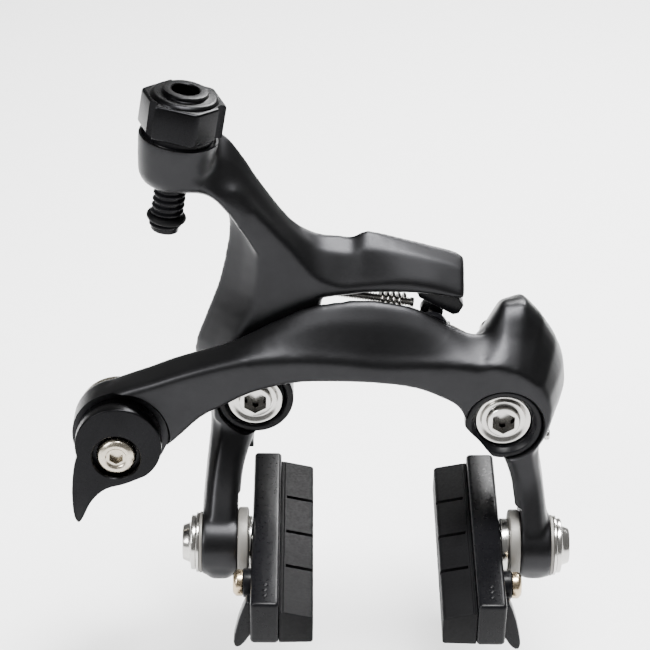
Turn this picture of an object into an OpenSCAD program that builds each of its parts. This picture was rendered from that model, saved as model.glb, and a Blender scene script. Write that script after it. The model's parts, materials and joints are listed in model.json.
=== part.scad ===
// Dual-pivot rim brake caliper, direct mount, front wheel.
// Frame: origin midway between the two mounting bolts on the seat plane.
// X is to the right seen from the front, Y is to the rear, Z is up.

/* [Mounting] */
// Distance between the two mounting bolts
bolt_spacing = 56; // [54:0.5:60]
// Radius of the mounting bolt shank
bolt_r = 3; // [2.5:0.1:4]
// Length of bolt behind the seats
bolt_reach = 14; // [10:0.5:24]
// Radius of the pivot sleeves
sleeve_r = 4.75; // [4:0.05:6]
// Thickness of the stabiliser plate
plate_t = 3; // [2:0.1:4]

/* [Arms] */
// Front face of the front arm
front_y = -32; // [-36:0.5:-28]
// Rear face of the arch of the front arm
arch_back_y = -22.6; // [-26:0.1:-22]
// Front face of the rear arm
rear_front_y = -21; // [-22:0.1:-18]
// Rear face of both pivot eyes
eye_back_y = -8; // [-12:0.5:-6]
// Radius of the recess around each pivot
recess_r = 8.8; // [8:0.1:10]
// Radial clearance of a running fit
run = 0.05; // [0.02:0.01:0.1]

/* [Shoes] */
// Half of the gap between the two brake pads
pad_gap = 14.4; // [12:0.1:18]
// Length of a shoe
shoe_len = 55; // [50:0.5:60]
// Thickness of the rubber in front of its holder
pad_t = 7.6; // [4:0.1:8]
// Thickness of the holder
holder_t = 6.4; // [5:0.1:8]
// Tilt of the shoes along the rim
shoe_tilt = 5.65; // [0:0.05:10]
// Height of the shoe bolts
shoe_z = -32.3; // [-36:0.1:-28]
// Fore and aft place of the shoe bolts
shoe_y = -30.7; // [-33:0.1:-28]

/* [Cable adjuster] */
// Tilt of the adjuster
adj_tilt = 8.7; // [0:0.05:15]
// Radius of the adjusting bolt
adj_r = 3.6; // [3:0.1:4]
// Radius of the adjusting nut over its corners
nut_r = 9.6; // [8:0.1:11]
// Height of the adjusting nut
nut_h = 9.6; // [7:0.1:11]

/* [Release lever] */
// Radius of the lever disc
lever_r = 9.7; // [8:0.1:11]
// Radius of the cam journal
cam_r = 6.6; // [6:0.1:8]
// Offset of the clamp screw from the cam axis
cam_off = 2.85; // [2:0.05:3.5]

/* [View] */
// Piece to draw

/* [Hidden] */
hb = bolt_spacing / 2;
holder_x = pad_gap + pad_t;
holder_out = holder_x + holder_t;
// The right leg is the thinner one.
function leg_in(s) = s > 0 ? 32.9 : 31.8;
leg_out = 39.8;
adj_c = [-45.85, -18, 56.5];
bolt_top = 14.2;
socket_floor = 8.2;
lever_c = [-58.3, -3.7];
pocket_y = -30.4;
screw_c = lever_c + cam_off * [-0.175, -0.985];
right_cap_y = -30;
left_cap_y = -22;
contact = [13, 23.4];
contact_n = contact / norm(contact);
roller_r = 2.6;
roller_gap = 0.35;
roller_c = contact - contact_n * (roller_r + roller_gap / 2);

arm_grey = [0.23, 0.23, 0.24];
gloss_black = [0.03, 0.03, 0.035];
steel = [0.75, 0.75, 0.76];
dull_steel = [0.5, 0.49, 0.46];
rubber_black = [0.05, 0.05, 0.052];

// A smooth curve through stations, n steps between each pair.
function cr(a, b, c, d, t) =
  0.5 * (2 * b + (c - a) * t + (2 * a - 5 * b + 4 * c - d) * t * t
  + (3 * b - a - 3 * c + d) * t * t * t);
function smooth(P, n) = [
  for (i = [0:len(P) - 2]) for (k = [0:n - 1])
    cr(P[max(i - 1, 0)], P[i], P[i + 1], P[min(i + 2, len(P) - 1)], k / n),
  P[len(P) - 1]
];

// A solid through a list of rings, each with the same number of points.
// The signed volume tells which way round the faces have to be listed.
function tri_vol(p, f) = p[f[0]] * cross(p[f[1]], p[f[2]]);
function total(v, i = 0) = i < len(v) ? v[i] + total(v, i + 1) : 0;
module loft(R) {
  m = len(R[0]);
  n = len(R);
  pts = [for (r = R) for (p = r) p];
  sides = [for (i = [0:n - 2]) for (j = [0:m - 1])
    let (a = i * m + j, b = i * m + (j + 1) % m, c = a + m, d = b + m)
    each [[a, b, d], [a, d, c]]];
  z = (n - 1) * m;
  caps = [for (j = [1:m - 2]) each [[0, j + 1, j], [z, z + j, z + j + 1]]];
  tris = concat(sides, caps);
  v = total([for (f = tris) tri_vol(pts, f)]);
  polyhedron(points = pts, faces = v < 0 ? tris : [for (f = tris) [f[2], f[1], f[0]]], convexity = 6);
}

// Revolved round part, axis along +Y from y0.
module turned(x, y0, z, P) {
  translate([x, y0, z]) rotate([-90, 0, 0]) rotate_extrude($fn = 96) polygon(P);
}
// Revolved round part, axis along +X (side = 1) or -X (side = -1).
module turned_x(x, y, z, side, P) {
  translate([side * x, y, z]) rotate([0, side * 90, 0]) rotate_extrude($fn = 96) polygon(P);
}
// Flat outline in X and Z, from y0 back to y1.
module slab(y0, y1) {
  translate([0, y1, 0]) rotate([90, 0, 0]) linear_extrude(y1 - y0) children();
}
module bore_y(x, z, y0, y1, r) {
  translate([x, y0, z]) rotate([-90, 0, 0]) cylinder(h = y1 - y0, r = r, $fn = 96);
}

// ---- fixed part ----
module mount_plate() {
  mid = [[-hb, 0], [-20, 4.8], [-15, 7.4], [-10, 9.6], [0, 11.7],
    [10, 9.6], [15, 7.4], [20, 4.8], [hb, 0]];
  C = smooth(mid, 4);
  top = [for (p = C) p + [0, 2.6]];
  bot = [for (i = [len(C) - 1:-1:0]) C[i] - [0, 2.6]];
  color(dull_steel)
  difference() {
    union() {
      slab(-plate_t, 0) polygon(concat(top, bot));
      for (s = [-1, 1]) bore_y(s * hb, 0, -plate_t, 0, 8);
    }
    for (s = [-1, 1]) bore_y(s * hb, 0, -plate_t - 1, 1, bolt_r + 0.05);
  }
}
// Bolt with a dished collar and a raised socket head; y is the front of the head.
module mounting_bolt(x, y) {
  color(steel)
  difference() {
    turned(x, y, 0, [
      [0, 0], [3.35, 0], [3.65, 0.3], [3.65, 1.5], [4.6, 1.75], [5.6, 1.35], [5.95, 1.2],
      [6.2, 1.4], [6.2, 2.4], [6.05, 2.6], [bolt_r - 0.4, 2.6], [bolt_r - 0.4, -y],
      [bolt_r, -y], [bolt_r, bolt_reach - y - 0.6],
      [bolt_r - 0.6, bolt_reach - y], [0, bolt_reach - y]
    ]);
    translate([x, y - 1, 0]) rotate([-90, 0, 0]) cylinder(h = 4.6, r = 2.9, $fn = 6);
  }
}
module pivot_sleeve(x, y) {
  color(dull_steel)
  difference() {
    turned(x, y, 0, [
      [bolt_r + 0.05, 0], [sleeve_r, 0], [sleeve_r, -y - plate_t - 1.4], [7.4, -y - plate_t - 1.4],
      [7.4, -y - plate_t], [bolt_r + 0.05, -y - plate_t]
    ]);
  }
}
module wire(a, b, r) {
  d = b - a;
  translate(a) rotate([0, acos(d[2] / norm(d)), atan2(d[1], d[0])]) cylinder(h = norm(d), r = r, $fn = 32);
}
// Torsion spring around one sleeve: one end on the plate, the other on the arm's leg.
module return_spring(s) {
  y = -6.2;
  w = 0.75;
  color(dull_steel)
  union() {
    translate([s * hb, y, 0]) rotate([90, 0, 0]) rotate_extrude($fn = 96) translate([6.3, 0]) circle(r = w, $fn = 48);
    wire([s * (hb - 6.1), y + 0.1, 1], [s * 26.6, y + 0.1, -15], w);
    wire([s * (hb + 1), y - 0.1, 6.2], [s * 16, y - 0.1, 9.6], w);
    wire([s * 16.5, y - 0.6, 9.4], [s * 16.5, -2, 9.4], w);
  }
}

// ---- legs, shared by both arms ----
// Stations: height, inner x, outer x, front y, rear y.
function leg_ring(q, s) =
  let (z = q[0], a = q[1], b = q[2], f = q[3], g = q[4], c = 0.22 * (b - a))
  let (P = [[a + c, f], [a, f + c * 1.4], [a, g - c * 1.4], [a + c, g], [b - c, g], [b, g - c * 1.4],
    [b + 0.35, (f + g) / 2], [b, f + c * 1.4], [b - c, f]])
  [for (i = [0:len(P) - 1])
    let (p = s > 0 ? P[len(P) - 1 - i] : P[i]) [s * p[0], p[1], z]];
module leg(Q, s) {
  R = smooth(Q, 3);
  loft([for (i = [len(R) - 1:-1:0]) leg_ring(R[i], s)]);
}
module leg_eye(s) {
  translate([s * (leg_in(s) + leg_out) / 2, shoe_y, shoe_z]) rotate([0, 90, 0])
    cylinder(h = leg_out - leg_in(s), r = 7.3, center = true, $fn = 96);
}
module leg_slot(s) {
  for (z = [-3, 3]) translate([s * leg_in(s) - 5, shoe_y, shoe_z + z]) rotate([0, 90, 0])
    cylinder(h = 20, r = 3.15, center = true, $fn = 64);
  for (z = [-3, 3]) translate([s * 36, shoe_y, shoe_z + z]) rotate([0, 90, 0])
    cylinder(h = 20, r = 3.15, center = true, $fn = 64);
  translate([s * 36 - 10, shoe_y - 3.15, shoe_z - 3]) cube([20, 6.3, 6]);
}
// Flats that the spherical washers bear on.
module leg_flats(s) {
  translate([s > 0 ? leg_in(s) - 8 : -leg_in(s), shoe_y - 14, -50]) cube([8, 28, 29.2]);
  translate([s > 0 ? leg_out : -leg_out - 8, shoe_y - 14, -50]) cube([8, 28, 29.2]);
}

// ---- rear arm ----
// Stem stations: height, front left x, front right x, rear left x, rear right x, rear y.
function stem_ring(q) =
  let (z = q[0], f = rear_front_y, g = q[5])
  [[q[1] + 1, f, z], [q[1], f + 0.6, z], [q[1] * 0.55 + q[3] * 0.45, f + (g - f) * 0.42, z], [q[3], g - 2.2, z],
    [q[3] + 1.2, g, z], [q[4] - 1, g, z], [q[4], g - 1.5, z], [q[2], f + 1.2, z], [q[2] - 1, f, z]];
// Branch stations: x, front bottom, front crease, top rear, bottom rear, rear y, front y.
function branch_ring(q) =
  let (x = q[0], f = q[6], g = q[5], m = (f + g) / 2)
  [[x, f, q[1] + 0.7], [x, f, q[2] - 1], [x, f + 0.8, q[2]], [x, m, q[2] * 0.42 + q[3] * 0.58 + 0.6],
    [x, g - 1, q[3] - 0.1], [x, g, q[3] - 1], [x, g, q[4] + 0.7], [x, g - 0.8, q[4]], [x, f + 0.8, q[1]]];
module rear_arm_stem() {
  S = smooth([
    [-6, -37.5, -25, -38.6, -25, eye_back_y],
    [1, -37.2, -22, -40.5, -22, eye_back_y],
    [8, -35.6, -19.4, -42.2, -19.4, eye_back_y - 0.5],
    [16.9, -32.5, -16.2, -39.6, -16, eye_back_y - 1],
    [25.9, -28.4, -13, -36.6, -12.6, eye_back_y - 2],
    [35.9, -27.6, -17.4, -34.6, -15, eye_back_y - 3],
    [43, -29, -23.2, -34.2, -21, -12],
    [48, -33, -27.6, -36.8, -25.5, -12.5],
    [53, -38, -32, -40, -29, -12.5]
  ], 2);
  loft([for (q = S) stem_ring(q)]);
}
module rear_arm_branch() {
  B = smooth([
    [-46, 53.8, 60, 64.8, 50, -11, -25.6],
    [-41, 53.6, 57.5, 64.8, 48.8, -11.2, -25.2],
    [-38.3, 52.6, 54.4, 64.2, 47.8, -11.4, -24.2],
    [-36, 49.8, 52, 63.2, 46.6, -11.5, -22.9],
    [-33.7, 46.4, 50.5, 61.6, 44, -12, -21.9],
    [-30.2, 41, 48.6, 56.6, 40, -12, -21.3],
    [-27.1, 36, 46.3, 51.6, 37, -12, -21],
    [-20.4, 28, 39.5, 42.6, 29, -12, -21],
    [-14.8, 26, 32.8, 39.2, 27, -12, -21],
    [-9.2, 26.6, 30.4, 38.4, 28.2, -12, -21],
    [-6.2, 27, 30.6, 38.3, 28.6, -12, -21],
    [-3.2, 27.4, 30.9, 39.7, 28.6, -12, -21],
    [4.1, 27.6, 31.5, 38.1, 28.6, -12, -21],
    [11, 27.2, 30.6, 36.3, 28.2, -12, -21],
    [16.4, 26.3, 29, 34.8, 27, -12, -21],
    [18.6, 26.3, 28.4, 33.6, 27, -12.4, -21]
  ], 2);
  loft([for (q = B) branch_ring(q)]);
}
module adjuster_frame() {
  translate(adj_c) rotate([0, adj_tilt, 0]) children();
}
module rear_arm() {
  color(arm_grey)
  difference() {
    union() {
      rear_arm_stem();
      rear_arm_branch();
      bore_y(-hb, 0, rear_front_y, eye_back_y, 8.75);
      leg([
        [4, 24, 38.4, -21, -8], [-4, 24.6, 38.2, -21, -8], [-9, 27.6, 38, -21.6, -9.5],
        [-16.5, 30.6, 38.8, -26.5, -13.5], [-24.6, 31.4, 39.6, -33, -19],
        [-30, 31.6, 39.9, -36.4, -22.6], [-36, 31.6, 39.9, -37.2, -24], [-39.8, 32.6, 39.2, -35, -26.4]
      ], -1);
      leg_eye(-1);
      adjuster_frame() rotate_extrude($fn = 96)
        polygon([[0, -3.6], [5.2, -3.6], [6.8, -2.7], [7.6, -1], [8.1, 3], [8.5, 7.5], [8.2, 8], [0, 8]]);
    }
    bore_y(-hb, 0, rear_front_y - 5, -17, recess_r);
    bore_y(-hb, 0, -18, 0, 6);
    adjuster_frame() translate([0, 0, -40]) cylinder(h = 80, r = adj_r + 0.15, $fn = 96);
    adjuster_frame() translate([0, 0, 6.2]) cylinder(h = 20, r = 7.9, $fn = 96);
    leg_slot(-1);
    leg_flats(-1);
  }
}
module bush(x, y0) {
  color(gloss_black)
  difference() {
    bore_y(x, 0, y0, eye_back_y, 6);
    bore_y(x, 0, y0 - 1, 0, sleeve_r + run);
  }
}
// Dust ring in the recess; y is its front, y1 the recess floor, cut is the distance to its flat.
module dust_ring(x, y, y1, cut) {
  color(gloss_black)
  difference() {
    turned(x, y, 0, [
      [6.5, 1.2], [7.4, 0.1], [8.3, 0], [8.75, 0.4], [8.75, y1 - y], [6.5, y1 - y]
    ]);
    translate([x, y - 1, 0]) rotate([0, 139.6, 0]) translate([cut, 0, -20]) cube([20, 10, 40]);
  }
}
module contact_pad() {
  // wedge whose lower face is square to the line from the contact to the origin
  t = [contact_n[1], -contact_n[0]];
  f = contact + contact_n * roller_gap / 2;
  color(gloss_black)
  slab(-19.6, -12.6) polygon([
    f - 5.2 * t, f + 3.6 * t, f + 4.6 * t + contact_n * 0.9, f + 4.6 * t + contact_n * 3,
    [16.6, 27.6], [7.4, 28.6]
  ]);
}
module centring_frame() {
  translate([6.6, -18.4, 24.4]) rotate([0, 98, 0]) children();
}
module centring_screw() {
  color(steel)
  centring_frame() rotate_extrude($fn = 48)
    polygon([[0, -19], [0.9, -19], [1, -18.8], [1, 0], [1.1, 0], [1.1, 0.8], [0, 0.8]]);
}
module centring_spring() {
  color(steel)
  centring_frame() for (i = [0:4]) translate([0, 0, -6.9 + i * 1.45])
    rotate_extrude($fn = 64) translate([1.62, 0]) circle(r = 0.36, $fn = 24);
}
// Small block on the back of a leg that the end of the return spring presses on.
module spring_seat(s, y0) {
  color(gloss_black)
  slab(y0, -5.2) polygon([[s * 28.3, -15.6], [s * 33, -15.6], [s * 33, -11.8], [s * 29, -11.8]]);
}

// ---- front arm ----
// Arch stations: x, bottom, crease, ridge, rear bottom.
function arch_ring(q) =
  let (x = q[0], f = front_y, g = arch_back_y, k = max(q[3] - q[2], 0.2))
  [[x, f + 0.8, q[1]], [x, f, q[1] + 0.9], [x, f, q[2] - 1.6], [x, f + 0.5, q[2] - 0.4], [x, f + 1.7, q[2] + 0.1 * k],
    [x, f + 5, q[2] + 0.6 * k], [x, g - 1.4, q[3] - 0.08 * k], [x, g, q[3] - 0.6], [x, g, q[4] + 0.8],
    [x, g - 0.8, q[4]], [x, (f + g) / 2, q[1] * 0.5 + q[4] * 0.5 - 0.3]];
module front_arch() {
  A = smooth([
    [-64, -6, 5.4, 5, -6],
    [-58, -8, 7.9, 7.8, -8],
    [-51.1, -8.4, 10.2, 10.5, -7],
    [-46, -4.8, 12.1, 12.7, -3.5],
    [-40, 1.3, 14.1, 14.7, 2.6],
    [-35, 4.2, 15.5, 16.2, 5.6],
    [-28.9, 7.6, 16.8, 19.4, 9],
    [-20.1, 10.2, 17.4, 24.5, 12],
    [-11.2, 10.8, 17.3, 27.5, 13.4],
    [-0.1, 10.4, 16.2, 28, 13.4],
    [7.7, 9.3, 16.3, 26.2, 12.4],
    [13.4, 7.1, 16.4, 23.4, 10],
    [17.4, 4.7, 16.3, 21.2, 7],
    [20.3, 0.4, 16, 19.9, 3.4],
    [24, -2, 15.5, 19.6, -1]
  ], 2);
  loft([for (q = A) arch_ring(q)]);
}
// Shoulder stations: y, then radius at each of the angles around the right pivot.
shoulder_a = [-70, -40, -15, 5, 20, 37, 53, 68, 80, 92, 104, 116, 135, 165, 200, 240];
module front_shoulder() {
  S = smooth([
    [-32, 9.4, 9.6, 9.2, 9.8, 10.6, 11.8, 12.8, 13.2, 14.2, 14.9, 15.8, 15, 12, 9.5, 7.4, 7.4],
    [-31, 10.2, 10, 10.1, 10.6, 11.5, 12.6, 13.8, 14.2, 15.1, 15.9, 16.8, 16, 12, 9.5, 7.4, 7.4],
    [-26, 11, 11, 11, 12, 13.5, 15.2, 16.8, 18.3, 19.3, 19.8, 18.6, 17.4, 13, 10, 7.4, 7.4],
    [-20, 11.5, 11.3, 12.2, 13.6, 15.2, 17.1, 19.6, 22.6, 25.2, 24.8, 19.4, 17.2, 13.5, 10.5, 8.4, 8.6],
    [-14, 11.5, 11.3, 12.4, 13.9, 15.4, 17.2, 19.1, 21.8, 24.7, 22.9, 17.2, 14.4, 12.6, 10.5, 9.8, 9.8],
    [-9, 11, 11, 12, 13.6, 15.2, 16.6, 17.9, 20, 22.2, 20, 14.8, 12.6, 11.6, 10.3, 9.8, 9.8],
    [-8, 10.4, 10.4, 11.4, 13, 14.5, 15.9, 17.1, 19.2, 21.2, 19, 14, 12, 11, 9.7, 9.2, 9.2]
  ], 2);
  loft([for (q = S) [for (i = [0:len(shoulder_a) - 1])
    [hb + q[i + 1] * cos(shoulder_a[i]), q[0], q[i + 1] * sin(shoulder_a[i])]]]);
}
module front_arm() {
  color(arm_grey)
  difference() {
    union() {
      front_arch();
      front_shoulder();
      leg([
        [0, 24.4, 37, -32, -8], [-5, 26, 36.5, -32, -8.6], [-10.5, 28.9, 36.6, -32, -10],
        [-16.5, 30.8, 37.7, -32.6, -13.5], [-24.6, 31.9, 38.9, -35, -19],
        [-29, 32.4, 39.6, -36.4, -22.6], [-34.6, 32.6, 39.9, -37.4, -24], [-38.6, 33.4, 39.4, -35.6, -26.4]
      ], 1);
      leg_eye(1);
      bore_y(lever_c[0], lever_c[1], pocket_y, arch_back_y, 10.7);
    }
    bore_y(hb, 0, front_y - 5, -27, recess_r);
    bore_y(hb, 0, -28, 0, 6);
    bore_y(lever_c[0], lever_c[1], -50, 0, cam_r + run);
    bore_y(lever_c[0], lever_c[1], -50, pocket_y, 11);
    leg_slot(1);
    leg_flats(1);
  }
}
module roller_bracket() {
  color(gloss_black)
  difference() {
    slab(arch_back_y, -20.6) polygon([
      [5.6, 16], [8.6, 22.4], [11, 23.6], [13.8, 22.8], [15.8, 19.6], [19.4, 16.8], [19.4, 12.6], [8, 13.6]
    ]);
    bore_y(roller_c[0], roller_c[1], -40, 0, 1.2);
  }
}
module roller_pin() {
  color(steel)
  turned(roller_c[0], arch_back_y, roller_c[1], [
    [0, 0], [1.2, 0], [1.2, 9.2], [2, 9.2], [2, 10], [0, 10]
  ]);
}
module contact_roller() {
  color(gloss_black)
  difference() {
    bore_y(roller_c[0], roller_c[1], -16.8, -13.6, roller_r);
    bore_y(roller_c[0], roller_c[1], -30, 0, 1.25);
  }
}
module stop_screw() {
  color(steel)
  turned_x(35, -13.6, -12.8, 1, [[0, 0], [1.4, 0], [1.4, 5.1], [1.1, 5.4], [0, 5.4]]);
}

// ---- cable clamp and release lever ----
module lever_outline() {
  cx = lever_c[0];
  cz = lever_c[1];
  // disc, then the tail that sweeps down to a point
  circle_pts = [for (a = [-52:8:196]) [cx + lever_r * cos(a), cz + lever_r * sin(a)]];
  tail = smooth([
    [cx + lever_r * cos(196), cz + lever_r * sin(196)], [-68.5, -10], [-69, -16], [-68.8, -21.4], [-68, -23.7],
    [-66.9, -23], [-64.6, -18.2], [-61.4, -15], [-57, -13.5], [cx + lever_r * cos(-52), cz + lever_r * sin(-52)]
  ], 4);
  polygon(concat(circle_pts, [for (i = [1:len(tail) - 2]) tail[i]]));
}
module release_lever() {
  color(gloss_black)
  difference() {
    union() {
      slab(-36, -32.8) lever_outline();
      bore_y(lever_c[0], lever_c[1], -33, pocket_y - 0.3, lever_r - 0.3);
      bore_y(lever_c[0], lever_c[1], -33, arch_back_y, cam_r);
    }
    bore_y(screw_c[0], screw_c[1], -40, 0, 2.55);
    bore_y(screw_c[0], screw_c[1], -40, -34, 5.3);
  }
}
module clamp_screw() {
  color(steel)
  difference() {
    turned(screw_c[0], -36.3, screw_c[1], [
      [0, 0], [2.6, 0], [3.9, 0.5], [4.5, 1.3], [4.5, 2.25], [2.5, 2.25], [2.5, 20.2], [2.1, 20.6], [0, 20.6]
    ]);
    translate([screw_c[0], -37, screw_c[1]]) rotate([-90, 0, 0]) cylinder(h = 2.6, r = 1.75, $fn = 6);
  }
}
module clamp_plate() {
  color(dull_steel)
  difference() {
    bore_y(screw_c[0], screw_c[1] + 2.6, arch_back_y + 0.25, -20.1, 9.5);
    bore_y(screw_c[0], screw_c[1], -30, 0, 2.55);
  }
}
module clamp_nut() {
  color(steel)
  difference() {
    translate([screw_c[0], -20.1, screw_c[1]]) rotate([-90, 0, 0]) cylinder(h = 3.4, r = 4.6, $fn = 6);
    bore_y(screw_c[0], screw_c[1], -30, 0, 2.5);
  }
}

// ---- cable adjuster, drawn in its own tilted frame ----
module adjuster_nut() {
  top = 9.4 + nut_h;
  color(gloss_black)
  adjuster_frame() difference() {
    union() {
      translate([0, 0, 9.4]) rotate(-70) cylinder(h = nut_h - 2, r = nut_r, $fn = 6);
      translate([0, 0, top - 2]) cylinder(h = 1, r = 7.2, $fn = 96);
      translate([0, 0, top - 1]) cylinder(h = 1, r = 5, $fn = 96);
    }
    // notches beside every other corner
    for (a = [-138, -18, 102]) rotate(a) translate([nut_r - 0.4, 0, 0]) cylinder(h = 40, r = 1.5, $fn = 48);
    translate([0, 0, 0]) cylinder(h = top - 1.6, r = adj_r + run, $fn = 96);
    cylinder(h = 40, r = 3.2, $fn = 96);
  }
}
module adjuster_seat() {
  color(gloss_black)
  adjuster_frame() difference() {
    translate([0, 0, 6.2]) cylinder(h = 3.1, r1 = 7.85, r2 = 7.4, $fn = 96);
    cylinder(h = 40, r = adj_r + run, $fn = 96);
  }
}
module adjuster_bolt() {
  color(gloss_black)
  adjuster_frame() difference() {
    rotate_extrude($fn = 96) polygon(concat(
      [[0, -14.8], [2.9, -14.8], [3.2, -14.4]],
      [[3.6, -13.2], [3.6, bolt_top], [0, bolt_top]]
    ));
    translate([0, 0, -20]) cylinder(h = 60, r = 1.2, $fn = 48);
    translate([0, 0, socket_floor]) cylinder(h = 20, r = 2.55, $fn = 96);
  }
}
module adjuster_o_ring() {
  color(rubber_black)
  adjuster_frame() translate([0, 0, -11.6]) difference() {
    rotate_extrude($fn = 96) translate([3.55, 0]) circle(r = 0.85, $fn = 32);
    translate([0, 0, -3]) cylinder(h = 6, r = adj_r, $fn = 96);
  }
}

// ---- shoes; s is the side, 1 right and -1 left ----
module shoe_frame() {
  translate([0, shoe_y, -33]) rotate([shoe_tilt, 0, 0]) children();
}
// Outline in Y and Z, made solid from x0 to x1 on side s.
module side_slab(s, x0, x1) {
  translate([s > 0 ? x0 : -x1, 0, 0]) rotate([90, 0, 90]) linear_extrude(x1 - x0) children();
}
module holder_outline() {
  polygon([
    [-26.6, -5.9], [27, -5.7], [28, -4.7], [28, 5], [27.2, 5.8], [-26.8, 5.8], [-27.6, 5], [-27.6, -4.9]
  ]);
}
// Cross-section in X and Z, solid from y0 to y1 of the shoe.
module shoe_bar(s, y0, y1, P) {
  slab(y0, y1) polygon([for (p = P) [s * p[0], p[1]]]);
}
module holder(s) {
  color(gloss_black)
  difference() {
    union() {
      shoe_frame() side_slab(s, holder_x, holder_out) holder_outline();
      shoe_frame() translate([0, -14.8, 1.2])
        turned_x(holder_out - 1, 0, 0, s, [[0, 0], [3.3, 0], [3.3, 2.5], [3, 2.8], [0, 2.8]]);
      // curved fin at the outer front corner
      slab(-55, -51.4) polygon([for (p = [[27, -33], [29.2, -32], [30.1, -34], [31.1, -37.2], [32, -41.3],
        [32.2, -43.1], [31.8, -44.4], [30.7, -44.2], [29.6, -43], [28.5, -41.1], [27, -40]]) [s * p[0], p[1]]]);
    }
    shoe_frame() side_slab(s, holder_x - 3, holder_x + 2.4)
      polygon([[-25.4, -4.3], [32, -4.3], [32, 2.4], [-25.4, 2.4]]);
    translate([s * (holder_out - 3), shoe_y, shoe_z]) rotate([0, 90, 0]) cylinder(h = 8, r = 3, center = true, $fn = 64);
    shoe_frame() translate([s * (holder_out - 1), -14.8, 1.2]) rotate([0, 90, 0])
      cylinder(h = 6.4, r = 1.5, center = true, $fn = 48);
  }
}
module pad(s) {
  color(rubber_black)
  shoe_frame() difference() {
    union() {
      shoe_bar(s, -27.2, 27.4, [[pad_gap, -5], [pad_gap + 0.4, -5.4], [holder_x, -5.6], [holder_x, 3.5],
        [pad_gap + 0.5, 1.9], [pad_gap, 1.5]]);
      side_slab(s, holder_x, holder_x + 2.4)
        polygon([[-25.4, -4.3], [27.4, -4.3], [27.4, 2.4], [-25.4, 2.4]]);
    }
    for (y = [-11, 1.3, 14]) side_slab(s, pad_gap - 1, holder_x - 1.3)
      polygon([[y - 0.5, -8], [y + 0.5, -8], [y + 0.5, 6], [y - 0.5, 6]]);
  }
}
module pad_screw(s) {
  color([0.72, 0.62, 0.42])
  shoe_frame() translate([0, -14.8, 1.2]) turned_x(holder_out - 3.9, 0, 0, s, [
    [0, 0], [1.5, 0], [1.5, 5.75], [2.8, 5.75], [3, 6], [3, 7.2], [2.5, 7.8], [1.4, 8], [0, 8]
  ]);
}
module shoe_bolt(s) {
  start = holder_out - 3.6;
  flange = leg_out + 1.55 - start;
  color(steel)
  difference() {
    turned_x(start, shoe_y, shoe_z, s, [
      [0, 0], [2.6, 0], [2.95, 0.4], [2.95, flange], [6, flange], [6.3, flange + 0.25],
      [6.3, flange + 0.8], [5.9, flange + 1.1], [5, flange + 1.2], [4.6, flange + 1.5],
      [4.1, 19.3], [3.7, 19.6], [0, 19.6]
    ]);
    translate([s * (start + 18.6), shoe_y, shoe_z]) rotate([0, 90, 0])
      cylinder(h = 5, r = 2.3, center = true, $fn = 6);
  }
}
// Spherical washer pairs: a cup and a domed washer each side of the leg.
module washer(s, x, P) {
  turned_x(x, shoe_y, shoe_z, s, P);
}
module inner_washer(s) {
  t = leg_in(s) - 2.5 - holder_out - 0.15;
  color(steel)
  washer(s, holder_out + 0.1, [[3, 0], [5.6, 0], [6.2, 0.2], [6.2, t - 0.2], [6, t], [3, t]]);
}
module inner_cup(s) {
  color(dull_steel)
  washer(s, leg_in(s) - 2.5, [[3, 0], [7.4, 0], [8.1, 0.5], [8.2, 1], [8.2, 2.1], [7.9, 2.4], [3, 2.4]]);
}
module outer_cup(s) {
  color(dull_steel)
  washer(s, leg_out + 0.05, [[3, 0], [6.7, 0], [7, 0.2], [7, 0.5], [6.7, 0.7], [3, 0.7]]);
}
module outer_washer(s) {
  color(steel)
  washer(s, leg_out + 0.8, [[3, 0], [6.6, 0], [6.9, 0.2], [6.9, 0.45], [6.5, 0.7], [3, 0.7]]);
}

mount_plate();
mounting_bolt(-hb, left_cap_y);  // mounting_bolt_left
mounting_bolt(hb, right_cap_y);  // mounting_bolt_right
pivot_sleeve(-hb, left_cap_y + 2.6);  // pivot_sleeve_left
pivot_sleeve(hb, right_cap_y + 2.6);  // pivot_sleeve_right
return_spring(-1);  // return_spring_left
return_spring(1);  // return_spring_right
rear_arm();
bush(-hb, -17);  // rear_arm_bush
dust_ring(-hb, -20.4, -17, 12);  // rear_arm_ring
contact_pad();
centring_screw();
centring_spring();
spring_seat(-1, -16);  // rear_spring_seat
front_arm();
bush(hb, -27);  // front_arm_bush
dust_ring(hb, -31, -27, 7);  // front_arm_ring
roller_bracket();
roller_pin();
contact_roller();
stop_screw();
spring_seat(1, -16);  // front_spring_seat
release_lever();
clamp_screw();
clamp_plate();
clamp_nut();
adjuster_nut();
adjuster_seat();
adjuster_bolt();
adjuster_o_ring();
holder(-1);  // left_holder
pad(-1);  // left_pad
pad_screw(-1);  // left_pad_screw
shoe_bolt(-1);  // left_shoe_bolt
inner_washer(-1);  // left_inner_washer
inner_cup(-1);  // left_inner_cup
outer_washer(-1);  // left_outer_washer
outer_cup(-1);  // left_outer_cup
holder(1);  // right_holder
pad(1);  // right_pad
pad_screw(1);  // right_pad_screw
shoe_bolt(1);  // right_shoe_bolt
inner_washer(1);  // right_inner_washer
inner_cup(1);  // right_inner_cup
outer_washer(1);  // right_outer_washer
outer_cup(1);  // right_outer_cup
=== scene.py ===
"""Builds the finished look of a dual-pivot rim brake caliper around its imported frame."""

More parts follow.
